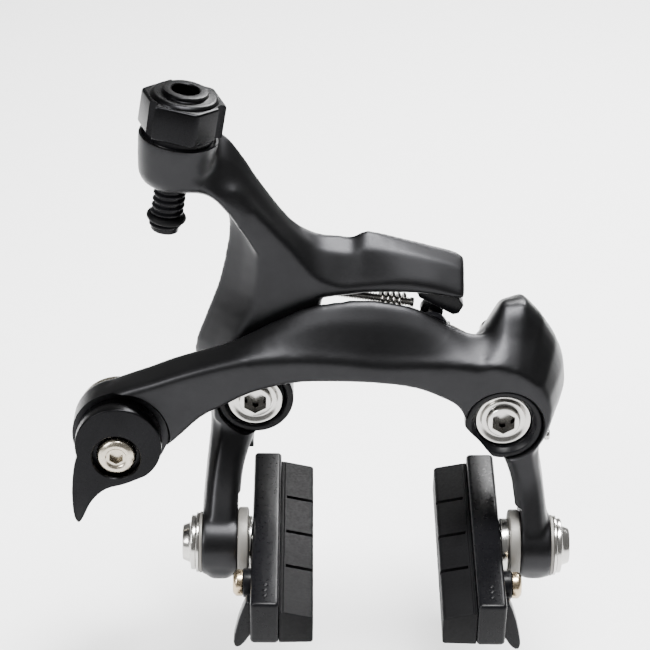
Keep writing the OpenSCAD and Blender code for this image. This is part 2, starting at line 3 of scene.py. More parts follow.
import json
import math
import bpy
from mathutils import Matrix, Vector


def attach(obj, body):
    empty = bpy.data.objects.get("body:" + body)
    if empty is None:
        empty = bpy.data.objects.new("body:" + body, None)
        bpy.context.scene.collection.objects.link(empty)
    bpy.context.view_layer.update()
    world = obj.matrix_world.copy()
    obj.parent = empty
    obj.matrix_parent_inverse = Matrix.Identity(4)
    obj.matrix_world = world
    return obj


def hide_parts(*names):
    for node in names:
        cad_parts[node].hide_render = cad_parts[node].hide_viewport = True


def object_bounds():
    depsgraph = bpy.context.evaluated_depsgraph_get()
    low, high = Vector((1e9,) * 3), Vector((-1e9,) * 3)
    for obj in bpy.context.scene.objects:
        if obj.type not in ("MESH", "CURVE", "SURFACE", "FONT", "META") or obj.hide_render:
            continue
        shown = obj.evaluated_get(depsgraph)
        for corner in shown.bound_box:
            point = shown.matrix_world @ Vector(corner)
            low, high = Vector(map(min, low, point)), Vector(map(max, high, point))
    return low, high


bl_info = {
    "name": "Rim Brake Caliper",
    "version": (1, 0, 0),
    "blender": (4, 5, 0),
    "location": "3D View > Sidebar > Caliper",
    "description": "Models and finishes the pieces of a dual-pivot rim brake caliper",
    "category": "Object",
}

import bmesh
import bpy
from bpy.props import (
    FloatProperty,
    FloatVectorProperty,
    IntProperty,
    PointerProperty,
)
from mathutils import Matrix, Vector

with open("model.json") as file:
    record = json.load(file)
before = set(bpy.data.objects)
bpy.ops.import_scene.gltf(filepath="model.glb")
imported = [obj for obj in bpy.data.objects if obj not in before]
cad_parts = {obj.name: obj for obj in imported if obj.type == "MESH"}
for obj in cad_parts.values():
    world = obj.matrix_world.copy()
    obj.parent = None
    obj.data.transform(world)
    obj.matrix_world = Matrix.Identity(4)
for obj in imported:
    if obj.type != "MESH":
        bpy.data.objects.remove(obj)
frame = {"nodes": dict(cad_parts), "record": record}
CAD_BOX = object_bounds()

# Lengths are in millimetres; MM turns them into metres where a mesh is made.
# A side is 1 on the right and -1 on the left, seen from the front.
MM = 0.001
PIVOT = 28.0  # from the middle to each arm's pivot
LEVER = (-58.3, -3.7)  # x and z of the release cam
CAM_OFFSET = 2.85
SCREW = (LEVER[0] - CAM_OFFSET * 0.175, LEVER[1] - CAM_OFFSET * 0.985)
ADJUSTER = Vector((-45.85, -18.0, 56.5))
ADJUSTER_TILT = math.radians(8.7)
SHOE_Y, SHOE_Z = -30.7, -32.3  # axis of the shoe bolts
SHOE_FRAME_Z = -33  # middle of the shoes' own frame
SHOE_TILT = math.radians(5.65)
PAD_SCREW = (-14.8, 1.2)  # along the shoe and up from its middle
TENON = (-4.3, 2.4)  # bottom and top of the pad's root in its holder
LEG_IN = {1: 32.9, -1: 31.8}  # flats that the cups bear on, from the middle
LEG_OUT = 39.8
CAP_FRONT = {1: -30.0, -1: -22.0}  # front of each mounting bolt
BOLT_SEAT = 2.6  # from the front of a mounting bolt to the back of its head
STUD, SHANK, BOLT_BORE = 3, 2.6, 3.05  # radii behind the seats, inside the caliper, and of the holes
PLATE = 3.0  # thickness of the stabiliser plate
HALF_GAP = 0.175  # half of the gap between roller and contact pad
CONTACT = Vector((13.0, 23.4))
ROLLER = CONTACT - CONTACT.normalized() * 2.775
ARM_FRONT, ARCH_BACK, REAR_FRONT = -32.0, -22.6, -21.0
SLEEVE_BACK = -8  # back of the bushes
FINE = 96  # steps around the larger round parts


# ---------------------------------------------------------------- mesh helpers


def curve_through(points, steps):
    """Points on a smooth curve through the given stations."""
    n = len(points)
    out = []
    for i in range(n - 1):
        p = [points[max(i - 1, 0)], points[i], points[i + 1], points[min(i + 2, n - 1)]]
        for k in range(steps):
            t = k / steps
            out.append(tuple(
                0.5 * (
                    2 * b + (c - a) * t + (2 * a - 5 * b + 4 * c - d) * t * t
                    + (3 * b - a - 3 * c + d) * t**3
                )
                for a, b, c, d in zip(*p)
            ))
    out.append(tuple(points[-1]))
    return out


def eased(points, radius, steps=3, closed=True):
    """The same outline with every corner rounded."""
    n = len(points)
    out = []
    for i, p in enumerate(points):
        if not closed and i in (0, n - 1):
            out.append(tuple(p))
            continue
        here = Vector(p)
        before, after = Vector(points[i - 1]) - here, Vector(points[(i + 1) % n]) - here
        a = here + before.normalized() * min(radius, 0.45 * before.length)
        b = here + after.normalized() * min(radius, 0.45 * after.length)
        for k in range(steps + 1):
            t = k / steps
            out.append(tuple((1 - t) ** 2 * a + 2 * t * (1 - t) * here + t * t * b))
    return out


def loop_of(bm, points):
    """A closed loop of edges through points given in millimetres."""
    verts = [bm.verts.new(Vector(p) * MM) for p in points]
    return [bm.edges.new((verts[i], verts[i - 1])) for i in range(len(verts))]


def loft(bm, rings):
    """A closed shell bridged from ring to ring."""
    loops = [loop_of(bm, r) for r in rings]
    faces = []
    for a, b in zip(loops, loops[1:]):
        faces += bmesh.ops.bridge_loops(bm, edges=a + b)["faces"]
    for end in (loops[0], loops[-1]):
        faces += bmesh.ops.contextual_create(bm, geom=end)["faces"]
    bmesh.ops.recalc_face_normals(bm, faces=faces)
    return faces


def rod(bm, path, radius, sides=16):
    """A round wire along a path."""
    points = [Vector(p) for p in path]
    rings = []
    normal = None
    for i, p in enumerate(points):
        ahead = (points[min(i + 1, len(points) - 1)] - points[max(i - 1, 0)]).normalized()
        if normal is None:
            normal = ahead.orthogonal().normalized()
        normal = (normal - ahead * normal.dot(ahead)).normalized()
        side = ahead.cross(normal)
        rings.append([
            p + radius * (normal * math.cos(math.tau * k / sides) + side * math.sin(math.tau * k / sides))
            for k in range(sides)
        ])
    return loft(bm, rings)


def prism(bm, outline, low, high, axis="Y", bevel=0.0, segments=2):
    """A flat outline pushed along an axis; the outline is in the other two, in order."""
    place = {
        "X": lambda u, v: (low, u, v),
        "Y": lambda u, v: (u, low, v),
        "Z": lambda u, v: (u, v, low),
    }[axis]
    old = set(bm.verts)
    face = bmesh.ops.contextual_create(bm, geom=loop_of(bm, [place(*p) for p in outline]))["faces"]
    push = Vector([high - low if a == axis else 0 for a in "XYZ"]) * MM
    made = bmesh.ops.extrude_face_region(bm, geom=face)["geom"]
    bmesh.ops.translate(bm, verts=[g for g in made if isinstance(g, bmesh.types.BMVert)], vec=push)
    verts = [v for v in bm.verts if v not in old]
    faces = list({f for v in verts for f in v.link_faces})
    bmesh.ops.recalc_face_normals(bm, faces=faces)
    if bevel:
        ends = [f for f in faces if abs(f.normal["XYZ".index(axis)]) > 0.99]
        rims = list({e for f in ends for e in f.edges})
        bmesh.ops.bevel(
            bm, geom=rims, offset=bevel * MM, offset_type="OFFSET", affect="EDGES", segments=segments,
            profile=0.5, material=-1, clamp_overlap=True,
        )
    return [v for v in bm.verts if v not in old]


def turned(bm, profile, place, steps=72):
    """A profile of (radius, height) spun round its own axis, then put in place by a matrix."""
    before = set(bm.verts)
    verts = [bm.verts.new((r * MM, 0, h * MM)) for r, h in profile]
    edges = [bm.edges.new(pair) for pair in zip(verts, verts[1:])]
    bmesh.ops.spin(
        bm, geom=verts + edges, cent=(0, 0, 0), axis=(0, 0, 1), dvec=(0, 0, 0), angle=math.tau, steps=steps,
        use_merge=True, use_normal_flip=False, use_duplicate=False,
    )
    new = [v for v in bm.verts if v not in before]
    bmesh.ops.remove_doubles(bm, verts=new, dist=1e-7)
    new = [v for v in bm.verts if v not in before]
    bmesh.ops.transform(bm, matrix=place, verts=new)
    bmesh.ops.recalc_face_normals(bm, faces=list({f for v in new for f in v.link_faces}))
    return new


def along(axis, x, y, z):
    """Matrix that lays a turned part's own axis along X, -X, Y or Z at a point in millimetres."""
    turn = {
        "Z": Matrix.Identity(4),
        "Y": Matrix.Rotation(math.radians(-90), 4, "X"),
        "X": Matrix.Rotation(math.radians(90), 4, "Y"),
        "-X": Matrix.Rotation(math.radians(-90), 4, "Y"),
    }[axis]
    return Matrix.Translation(Vector((x, y, z)) * MM) @ turn


def adjuster_place():
    return Matrix.Translation(ADJUSTER * MM) @ Matrix.Rotation(ADJUSTER_TILT, 4, "Y")


def shoe_place():
    return Matrix.Translation(Vector((0, SHOE_Y, SHOE_FRAME_Z)) * MM) @ Matrix.Rotation(SHOE_TILT, 4, "X")


def sideways(side, x, y, z):
    """Matrix for a turned part whose axis points away from the wheel on its side."""
    return along("X" if side > 0 else "-X", side * x, y, z)


def around(points, ease, steps=3):
    """Closed profile of a ring with eased edges."""
    profile = eased(points, ease, steps)
    return profile + [profile[0]]


def ring_profile(inner, outer, low, high, ease):
    """Closed profile of a plain ring."""
    return around([(inner, low), (outer, low), (outer, high), (inner, high)], ease)


def open_profile(points, ease, steps=3):
    """Profile that starts and ends on its own axis, with its edges eased."""
    return eased(points, ease, steps, closed=False)


def to_object(bm, name):
    mesh = bpy.data.meshes.new(name)
    bm.to_mesh(mesh)
    bm.free()
    obj = bpy.data.objects.new(name, mesh)
    bpy.context.scene.collection.objects.link(obj)
    return obj


def turned_object(name, profile, place, steps=72):
    bm = bmesh.new()
    turned(bm, profile, place, steps)
    return to_object(bm, name)


def peg(name, radius, low, high, ease, place, steps, rounding=3):
    """A plain round peg with eased edges."""
    corners = [(0, low), (radius, low), (radius, high), (0, high)]
    return turned_object(name, open_profile(corners, ease, rounding), place, steps)


def drill(radius, low, high, place, steps=72):
    """Cutter for a plain round hole."""
    return turned_object("cut_hole", [(0, low), (radius, low), (radius, high), (0, high)], place, steps)


def hex_object(name, radius, low, high, place, phase=0.0, bevel=0.0):
    """Six-sided prism along its own Z, with radius over its corners."""
    bm = bmesh.new()
    corners = [math.radians(phase + 60 * k) for k in range(6)]
    prism(bm, [(radius * math.cos(a), radius * math.sin(a)) for a in corners], low, high, "Z", bevel)
    bmesh.ops.transform(bm, matrix=place, verts=bm.verts)
    return to_object(bm, name)


def settle(obj):
    """Applies an object's modifiers to its mesh."""
    graph = bpy.context.evaluated_depsgraph_get()
    mesh = bpy.data.meshes.new_from_object(obj.evaluated_get(graph))
    old = obj.data
    obj.modifiers.clear()
    obj.data = mesh
    bpy.data.meshes.remove(old)
    return obj


def combine(obj, others, operation):
    """Boolean work with each of the others, which are then removed."""
    for other in others:
        mod = obj.modifiers.new("shape", "BOOLEAN")
        mod.operation = operation
        mod.solver = "MANIFOLD"
        mod.object = other
    settle(obj)
    for other in others:
        bpy.data.objects.remove(other)
    return obj


def cut(obj, cutters):
    return combine(obj, cutters, "DIFFERENCE")


def join(obj, others):
    return combine(obj, others, "UNION")


def cut_hex(obj, radius, low, high, place):
    """Cuts a hexagon socket with a flat side up."""
    return cut(obj, [hex_object("cut_hex", radius, low, high, place, 30)])


def melt(obj, voxel, rounds):
    """Joins overlapping shells into one skin and rounds its edges."""
    mod = obj.modifiers.new("skin", "REMESH")
    mod.mode = "VOXEL"
    mod.voxel_size = voxel * MM
    soft = obj.modifiers.new("soft", "SMOOTH")
    soft.factor = 0.5
    soft.iterations = rounds
    return settle(obj)


def soften(obj, zones):
    """Extra smoothing inside balls given as (centre, radius, rounds), in millimetres."""
    bm = bmesh.new()
    bm.from_mesh(obj.data)
    for centre, radius, rounds in zones:
        middle = Vector(centre) * MM
        near = [v for v in bm.verts if (v.co - middle).length < radius * MM]
        for _ in range(rounds):
            bmesh.ops.smooth_vert(bm, verts=near, factor=0.5, use_axis_x=True, use_axis_y=True, use_axis_z=True)
    bm.to_mesh(obj.data)
    bm.free()
    return obj


def shade(obj, angle):
    """Smooth shading, with edges over an angle left sharp."""
    bm = bmesh.new()
    bm.from_mesh(obj.data)
    limit = math.radians(angle)
    for f in bm.faces:
        f.smooth = True
    for e in bm.edges:
        e.smooth = len(e.link_faces) != 2 or e.calc_face_angle(0) < limit
    bm.to_mesh(obj.data)
    bm.free()
    return obj


def finish_piece(obj, material, body, slot, *nodes, angle=32):
    """Shades a piece, paints it, parents it to its body's empty and hides the solids it stands for."""
    shade(obj, angle)
    obj.data.materials.clear()
    obj.data.materials.append(named_finish(material))
    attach(obj, body)
    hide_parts(*nodes)
    return obj


# ------------------------------------------------------------------- materials


class Recipe:
    """A small helper that adds nodes to a material and links them."""

    def __init__(self, name):
        self.material = bpy.data.materials.get(name)
        self.fresh = self.material is None
        if self.fresh:
            self.material = bpy.data.materials.new(name)
            self.material.use_nodes = True
        self.tree = self.material.node_tree
        self.shader = self.tree.nodes.get("Principled BSDF")

    def add(self, kind, settings=None, **inputs):
        node = self.tree.nodes.new(kind)
        for key, value in (settings or {}).items():
            setattr(node, key, value)
        for key, value in inputs.items():
            socket = node.inputs[key.replace("_", " ")]
            if isinstance(value, bpy.types.NodeSocket):
                self.tree.links.new(value, socket)
            else:
                socket.default_value = value
        return node

    def join(self, source, target):
        self.tree.links.new(source, target)

    def noise(self, scale, detail=3.0, rough=0.5):
        coord = self.add("ShaderNodeTexCoord")
        return self.add(
            "ShaderNodeTexNoise", Vector=coord.outputs["Object"], Scale=scale, Detail=detail, Roughness=rough
        ).outputs["Fac"]

    def spread(self, fac, low, high):
        node = self.add("ShaderNodeMapRange", Value=fac)
        node.inputs["From Min"].default_value = 0.3
        node.inputs["From Max"].default_value = 0.7
        node.inputs["To Min"].default_value = low
        node.inputs["To Max"].default_value = high
        return node.outputs["Result"]

    def tint(self, fac, dark, light):
        ramp = self.add("ShaderNodeValToRGB", Fac=fac)
        ramp.color_ramp.elements[0].position = 0.3
        ramp.color_ramp.elements[1].position = 0.7
        ramp.color_ramp.elements[0].color = (*dark, 1)
        ramp.color_ramp.elements[1].color = (*light, 1)
        return ramp.outputs["Color"]

    def bump(self, height, strength, distance):
        node = self.add("ShaderNodeBump", Height=height, Strength=strength, Distance=distance)
        return node.outputs["Normal"]


def finish(name, colour, metallic, rough, mottle, grain, relief, depth, specular=0.5):
    """A surface with a slight mottle, uneven gloss and a fine grain."""
    r = Recipe(name)
    if not r.fresh:
        return r.material
    s = r.shader
    broad = r.noise(160.0, 4.0)
    fine = r.noise(grain, 2.0)
    dark = [c * (1 - mottle) for c in colour]
    light = [min(1.0, c * (1 + mottle)) for c in colour]
    r.join(r.tint(broad, dark, light), s.inputs["Base Color"])
    r.join(r.spread(fine, rough[0], rough[1]), s.inputs["Roughness"])
    r.join(r.bump(fine, relief, depth), s.inputs["Normal"])
    s.inputs["Metallic"].default_value = metallic
    s.inputs["Specular IOR Level"].default_value = specular
    return r.material


# For each finish: its colour setting, metallic, roughness from and to, mottle, then the
# grain's scale, relief and depth, and at the end the specular level where it isn't the usual.
FINISHES = {
    "satin_anthracite": ("arm_colour", 1.0, (0.34, 0.44), 0.07, 4200.0, 0.22, 0.02 * MM),
    "satin_black": ("lever_colour", 1.0, (0.26, 0.36), 0.08, 4200.0, 0.2, 0.02 * MM),
    "gloss_black": ("gloss_colour", 0.0, (0.26, 0.36), 0.15, 1400.0, 0.03, 0.02 * MM, 0.1),
    "polished_steel": ("steel_colour", 1.0, (0.15, 0.24), 0.04, 3000.0, 0.05, 0.01 * MM),
    "satin_steel": ("dull_colour", 1.0, (0.28, 0.42), 0.08, 2600.0, 0.15, 0.02 * MM),
    "moulded_rubber": ("rubber_colour", 0.0, (0.5, 0.66), 0.2, 1500.0, 0.35, 0.06 * MM, 0.08),
    "champagne_plate": ("champagne_colour", 1.0, (0.2, 0.3), 0.05, 2600.0, 0.08, 0.01 * MM),
    "sand_blasted_steel": ("sand_colour", 0.4, (0.42, 0.55), 0.07, 3600.0, 0.3, 0.03 * MM),
    "brass_plate": ("brass_colour", 1.0, (0.18, 0.3), 0.06, 2400.0, 0.08, 0.01 * MM),
}


def named_finish(name):
    """The finish of that name, in the colour chosen for it."""
    setting, *surface = FINISHES[name]
    return finish(name, getattr(bpy.context.scene.caliper_finish, setting), *surface)


# The finish that a frame's solid gets from its slot.
SLOT_FINISH = {
    "arm_paint": "satin_anthracite",
    "black_gloss": "gloss_black",
    "bright_steel": "polished_steel",
    "dull_steel": "satin_steel",
    "rubber": "moulded_rubber",
    "brass": "brass_plate",
}


# ------------------------------------------------------------------- settings


class CaliperFinish(bpy.types.PropertyGroup):
    """Colours of the finishes."""

    arm_colour: FloatVectorProperty(
        name="Arm paint", description="Anthracite paint of both arms",
        default=(0.019, 0.019, 0.02), subtype="COLOR", size=3, min=0, max=1)
    lever_colour: FloatVectorProperty(
        name="Lever paint", description="Black paint of the release lever",
        default=(0.008, 0.008, 0.0085), subtype="COLOR", size=3, min=0, max=1)
    gloss_colour: FloatVectorProperty(
        name="Black mouldings", description="Glossy black of shoes, rings and adjuster",
        default=(0.003, 0.003, 0.0036), subtype="COLOR", size=3, min=0, max=1)
    steel_colour: FloatVectorProperty(
        name="Bright steel", description="Polished bolts and washers",
        default=(0.42, 0.41, 0.39), subtype="COLOR", size=3, min=0, max=1)
    dull_colour: FloatVectorProperty(
        name="Dull steel", description="Plates, sleeves and cups",
        default=(0.26, 0.25, 0.23), subtype="COLOR", size=3, min=0, max=1)
    rubber_colour: FloatVectorProperty(
        name="Rubber", description="Brake pads",
        default=(0.0022, 0.0022, 0.0025), subtype="COLOR", size=3, min=0, max=1)
    champagne_colour: FloatVectorProperty(
        name="Champagne plating", description="Clamp screw and clamp plate",
        default=(0.42, 0.38, 0.31), subtype="COLOR", size=3, min=0, max=1)
    sand_colour: FloatVectorProperty(
        name="Sand-blasted steel", description="Cups of the spherical washers",
        default=(0.12, 0.115, 0.105), subtype="COLOR", size=3, min=0, max=1)
    brass_colour: FloatVectorProperty(
        name="Brass", description="Pad fixing screws",
        default=(0.4, 0.32, 0.22), subtype="COLOR", size=3, min=0, max=1)


class CaliperSizes(bpy.types.PropertyGroup):
    """Sizes of the details that the frame leaves open."""

    voxel: FloatProperty(
        name="Skin cell", description="Cell size of the arms' skin, in millimetres",
        default=0.42, min=0.25, max=1.5)
    soften: IntProperty(
        name="Rounding", description="Rounds of smoothing on the arms' edges",
        default=24, min=0, max=60)
    thread_pitch: FloatProperty(
        name="Thread pitch", description="Pitch of the adjusting bolt's thread, in millimetres",
        default=1.5, min=0.5, max=3)


class CaliperStage(bpy.types.PropertyGroup):
    """Floor, lights and camera."""

    floor_drop: FloatProperty(
        name="Floor drop", description="Gap between the lowest point and the floor",
        default=0.03, unit="LENGTH", min=0, max=0.3)
    key_power: FloatProperty(
        name="Key light", description="Power of the large light above", default=15.0, unit="POWER", min=0)
    fill_power: FloatProperty(
        name="Fill light", description="Power of the light from the front left", default=7.0, unit="POWER", min=0)
    rim_power: FloatProperty(
        name="Rim light", description="Power of the light from behind", default=10.0, unit="POWER", min=0)
    world_strength: FloatProperty(
        name="Surroundings", description="Strength of the pale surroundings", default=0.3, min=0)


# ----------------------------------------------------------------------- stage


CAMERA_ANGLES = (-0.71, 28.77, 0.92)  # azimuth, elevation and roll in degrees
CAMERA_TARGET = Vector((-12.38, -20.0, 19.17))
CAMERA_DISTANCE = 551.37
CAMERA_LENS, CAMERA_SENSOR = 136.1664, 36.0
CAMERA_CLIP = (0.01, 10.0)
FLOOR_SIZE = 3.0
FLOOR_FINISH = ("pale_floor", (0.93, 0.93, 0.93), 0.0, (0.75, 0.85), 0.004, 300.0, 0.02, 0.1 * MM)
# Each light's place, aim, width and height, in metres.
LIGHTS = {
    "key": ((0.06, -0.1, 0.6), (0.0, -0.02, 0.0), 0.3, 0.2),
    "fill": ((-0.5, -0.42, 0.4), (-0.01, -0.02, 0.01), 0.16, 0.4),
    "rim": ((0.2, 0.42, 0.42), (0.0, -0.02, 0.02), 0.3, 0.2),
}


class CALIPER_OT_stage(bpy.types.Operator):
    """Floor, lights, surroundings and camera"""

    bl_idname = "caliper.stage"
    bl_label = "Stage"

    def execute(self, context):
        p = context.scene.caliper_stage
        self.camera(context)
        low = CAD_BOX[0].z - p.floor_drop
        bm = bmesh.new()
        bmesh.ops.create_grid(bm, x_segments=1, y_segments=1, size=FLOOR_SIZE)
        bmesh.ops.translate(bm, verts=bm.verts, vec=(0, 0, low))
        floor = to_object(bm, "floor")
        floor.data.materials.append(finish(*FLOOR_FINISH))
        world = bpy.data.worlds.new("surroundings")
        context.scene.world = world
        world.use_nodes = True
        back = world.node_tree.nodes["Background"]
        back.inputs["Color"].default_value = (1, 1, 1, 1)
        back.inputs["Strength"].default_value = p.world_strength
        for name, (place, aim, width, height) in LIGHTS.items():
            self.light(context, name, place, aim, width, height, getattr(p, name + "_power"))
        return {"FINISHED"}

    def camera(self, context):
        azimuth, elevation, roll = (math.radians(a) for a in CAMERA_ANGLES)
        back = Vector((
            math.sin(azimuth) * math.cos(elevation),
            -math.cos(azimuth) * math.cos(elevation),
            math.sin(elevation),
        ))
        right = (-back).cross(Vector((0, 0, 1))).normalized()
        up = right.cross(-back)
        side = right * math.cos(roll) + up * math.sin(roll)
        top = -right * math.sin(roll) + up * math.cos(roll)
        data = bpy.data.cameras.new("camera")
        data.sensor_width, data.lens = CAMERA_SENSOR, CAMERA_LENS
        data.clip_start, data.clip_end = CAMERA_CLIP
        cam = bpy.data.objects.new("camera", data)
        context.scene.collection.objects.link(cam)
        basis = Matrix((side, top, back)).transposed().to_4x4()
        cam.matrix_world = Matrix.Translation((CAMERA_TARGET + back * CAMERA_DISTANCE) * MM) @ basis
        context.scene.camera = cam

    def light(self, context, name, place, aim, width, height, power):
        data = bpy.data.lights.new(name, "AREA")
        data.shape = "RECTANGLE"
        data.size, data.size_y = width, height
        data.energy = power
        obj = bpy.data.objects.new(name, data)
        context.scene.collection.objects.link(obj)
        look = Vector(aim) - Vector(place)
        obj.location = place
        obj.rotation_euler = look.to_track_quat("-Z", "Y").to_euler()


class CALIPER_OT_finishes(bpy.types.Operator):
    """Gives every solid of the frame its finish"""

    bl_idname = "caliper.finishes"
    bl_label = "Frame finishes"

    def execute(self, context):
        slots = {s["node"]: s["material_slot"] for s in frame["record"]["subparts"]}
        for name, node in frame["nodes"].items():
            material = named_finish(SLOT_FINISH[slots[name]])
            node.data.materials.clear()
            node.data.materials.append(material)
        return {"FINISHED"}


# ------------------------------------------------------------------------ arms

# Stations of the arms, each row a section; a smooth curve runs through them.
# x, bottom, crease, ridge, bottom at the back
ARCH = (
    (-64, -6, 5.4, 5, -6), (-58, -8, 7.9, 7.8, -8), (-51.1, -8.4, 10.2, 10.5, -7), (-46, -4.8, 12.1, 12.7, -3.5),
    (-40, 1.3, 14.1, 14.7, 2.6), (-35, 4.2, 15.5, 16.2, 5.6), (-28.9, 7.6, 16.8, 19.4, 9),
    (-20.1, 10.2, 17.4, 24.5, 12), (-11.2, 10.8, 17.3, 27.5, 13.4), (-0.1, 10.4, 16.2, 28, 13.4),
    (7.7, 9.3, 16.3, 26.2, 12.4), (13.4, 7.1, 16.4, 23.4, 10), (17.4, 4.7, 16.3, 21.2, 7),
    (20.3, 0.4, 16, 19.9, 3.4), (24, -2, 15.5, 19.6, -1),
)
SHOULDER_ANGLES = (-70, -40, -15, 5, 20, 37, 53, 68, 80, 92, 104, 116, 135, 165, 200, 240)
# y, then a radius at each angle
SHOULDER = (
    (-32, 9.4, 9.6, 9.2, 9.8, 10.6, 11.8, 12.8, 13.2, 14.2, 14.9, 15.8, 15, 12, 9.5, 7.4, 7.4),
    (-31, 10.2, 10, 10.1, 10.6, 11.5, 12.6, 13.8, 14.2, 15.1, 15.9, 16.8, 16, 12, 9.5, 7.4, 7.4),
    (-26, 11, 11, 11, 12, 13.5, 15.2, 16.8, 18.3, 19.3, 19.8, 18.6, 17.4, 13, 10, 7.4, 7.4),
    (-20, 11.5, 11.3, 12.2, 13.6, 15.2, 17.1, 19.6, 22.6, 25.2, 24.8, 19.4, 17.2, 13.5, 10.5, 8.4, 8.6),
    (-14, 11.5, 11.3, 12.4, 13.9, 15.4, 17.2, 19.1, 21.8, 24.7, 22.9, 17.2, 14.4, 12.6, 10.5, 9.8, 9.8),
    (-9, 11, 11, 12, 13.6, 15.2, 16.6, 17.9, 20, 22.2, 20, 14.8, 12.6, 11.6, 10.3, 9.8, 9.8),
    (-8, 10.4, 10.4, 11.4, 13, 14.5, 15.9, 17.1, 19.2, 21.2, 19, 14, 12, 11, 9.7, 9.2, 9.2),
)
# height, inner x, outer x, front y, rear y
FRONT_LEG = (
    (0, 24.4, 37, -32, -8), (-5, 26, 36.5, -32, -8.6), (-10.5, 28.9, 36.6, -32, -10),
    (-16.5, 30.8, 37.7, -32.6, -13.5), (-24.6, 31.9, 38.9, -35, -19), (-29, 32.4, 39.6, -36.4, -22.6),
    (-34.6, 32.6, 39.9, -37.4, -24), (-38.6, 33.4, 39.4, -35.6, -26.4),
)
REAR_LEG = (
    (4, 24, 38.4, -21, -8), (-4, 24.6, 38.2, -21, -8), (-9, 27.6, 38, -21.6, -9.5),
    (-16.5, 30.6, 38.8, -26.5, -13.5), (-24.6, 31.4, 39.6, -33, -19), (-30, 31.6, 39.9, -36.4, -22.6),
    (-36, 31.6, 39.9, -37.2, -24), (-39.8, 32.6, 39.2, -35, -26.4),
)
# height, front left, front right, rear left, rear right, back y
STEM = (
    (-6, -37.5, -25, -38.6, -25, -8), (1, -37.2, -22, -40.5, -22, -8), (8, -35.6, -19.4, -42.2, -19.4, -8.5),
    (16.9, -32.5, -16.2, -39.6, -16, -9), (25.9, -28.4, -13, -36.6, -12.6, -10),
    (35.9, -27.6, -17.4, -34.6, -15, -11),
    (43, -29, -23.2, -34.2, -21, -12), (48, -33, -27.6, -36.8, -25.5, -12.5), (53, -38, -32, -40, -29, -12.5),
)
# x, front bottom, front crease, top at the back, bottom at the back, back y, front y
BRANCH = (
    (-46, 53.8, 60, 64.8, 50, -11, -25.6), (-41, 53.6, 57.5, 64.8, 48.8, -11.2, -25.2),
    (-38.3, 52.6, 54.4, 64.2, 47.8, -11.4, -24.2), (-36, 49.8, 52, 63.2, 46.6, -11.5, -22.9),
    (-33.7, 46.4, 50.5, 61.6, 44, -12, -21.9), (-30.2, 41, 48.6, 56.6, 40, -12, -21.3),
    (-27.1, 36, 46.3, 51.6, 37, -12, -21), (-20.4, 28, 39.5, 42.6, 29, -12, -21),
    (-14.8, 26, 32.8, 39.2, 27, -12, -21), (-9.2, 26.6, 30.4, 38.4, 28.2, -12, -21),
    (-6.2, 27, 30.6, 38.3, 28.6, -12, -21), (-3.2, 27.4, 30.9, 39.7, 28.6, -12, -21),
    (4.1, 27.6, 31.5, 38.1, 28.6, -12, -21), (11, 27.2, 30.6, 36.3, 28.2, -12, -21),
    (16.4, 26.3, 29, 34.8, 27, -12, -21), (18.6, 26.3, 28.4, 33.6, 27, -12.4, -21),
)

# Balls of extra smoothing: centre, radius, rounds.
SHOULDER_VALLEY = (
    ((21, -25, 20), 12, 6), ((21, -25, 20), 9, 8), ((21, -25, 20), 6, 10), ((16, -26, 20), 7, 8),
)
ARCH_TOP = tuple(((x, -24, z), 9, 12) for x, z in ((-25, 17), (-15, 21), (-4, 24), (7, 24)))
STEM_NECK = (((-37, -23, 52), 9, 20), ((-39, -24, 56), 8, 20), ((-35, -22, 50), 7, 20))


def arch_ring(x, bottom, crease, ridge, back):
    f, g, rise = ARM_FRONT, ARCH_BACK, max(ridge - crease, 0.2)
    return [
        (x, f + 0.8, bottom), (x, f, bottom + 0.9), (x, f, crease - 1.6), (x, f + 0.5, crease - 0.4),
        (x, f + 1.7, crease + 0.1 * rise), (x, f + 5, crease + 0.6 * rise), (x, g - 1.4, ridge - 0.08 * rise),
        (x, g, ridge - 0.6), (x, g, back + 0.8), (x, g - 0.8, back), (x, (f + g) / 2, (bottom + back) / 2 - 0.3),
    ]


def shoulder_ring(y, *radii):
    return [
        (PIVOT + r * math.cos(math.radians(a)), y, r * math.sin(math.radians(a)))
        for a, r in zip(SHOULDER_ANGLES, radii)
    ]


def leg_ring(side, z, inner, outer, front, rear):
    c = 0.22 * (outer - inner)
    points = [
        (inner + c, front), (inner, front + c * 1.4), (inner, rear - c * 1.4), (inner + c, rear), (outer - c, rear),
        (outer, rear - c * 1.4), (outer + 0.35, (front + rear) / 2), (outer, front + c * 1.4), (outer - c, front),
    ]
    return [(side * x, y, z) for x, y in points]


def stem_ring(z, front_left, front_right, rear_left, rear_right, back):
    f, g = REAR_FRONT, back
    return [
        (front_left + 1, f, z), (front_left, f + 0.6, z),
        (front_left * 0.55 + rear_left * 0.45, f + (g - f) * 0.42, z), (rear_left, g - 2.2, z),
        (rear_left + 1.2, g, z), (rear_right - 1, g, z), (rear_right, g - 1.5, z),
        (front_right, f + 1.2, z), (front_right - 1, f, z),
    ]


def branch_ring(x, bottom, crease, top, back_bottom, back, front):
    f, g = front, back
    return [
        (x, f, bottom + 0.7), (x, f, crease - 1), (x, f + 0.8, crease),
        (x, (f + g) / 2, crease * 0.42 + top * 0.58 + 0.6), (x, g - 1, top - 0.1), (x, g, top - 1),
        (x, g, back_bottom + 0.7), (x, g - 0.8, back_bottom), (x, f + 0.8, bottom),
    ]


def box(x, y, z):
    """A plain block from (low, high) pairs."""
    bm = bmesh.new()
    prism(bm, [(x[0], y[0]), (x[1], y[0]), (x[1], y[1]), (x[0], y[1])], z[0], z[1], "Z")
    return to_object(bm, "cut_box")


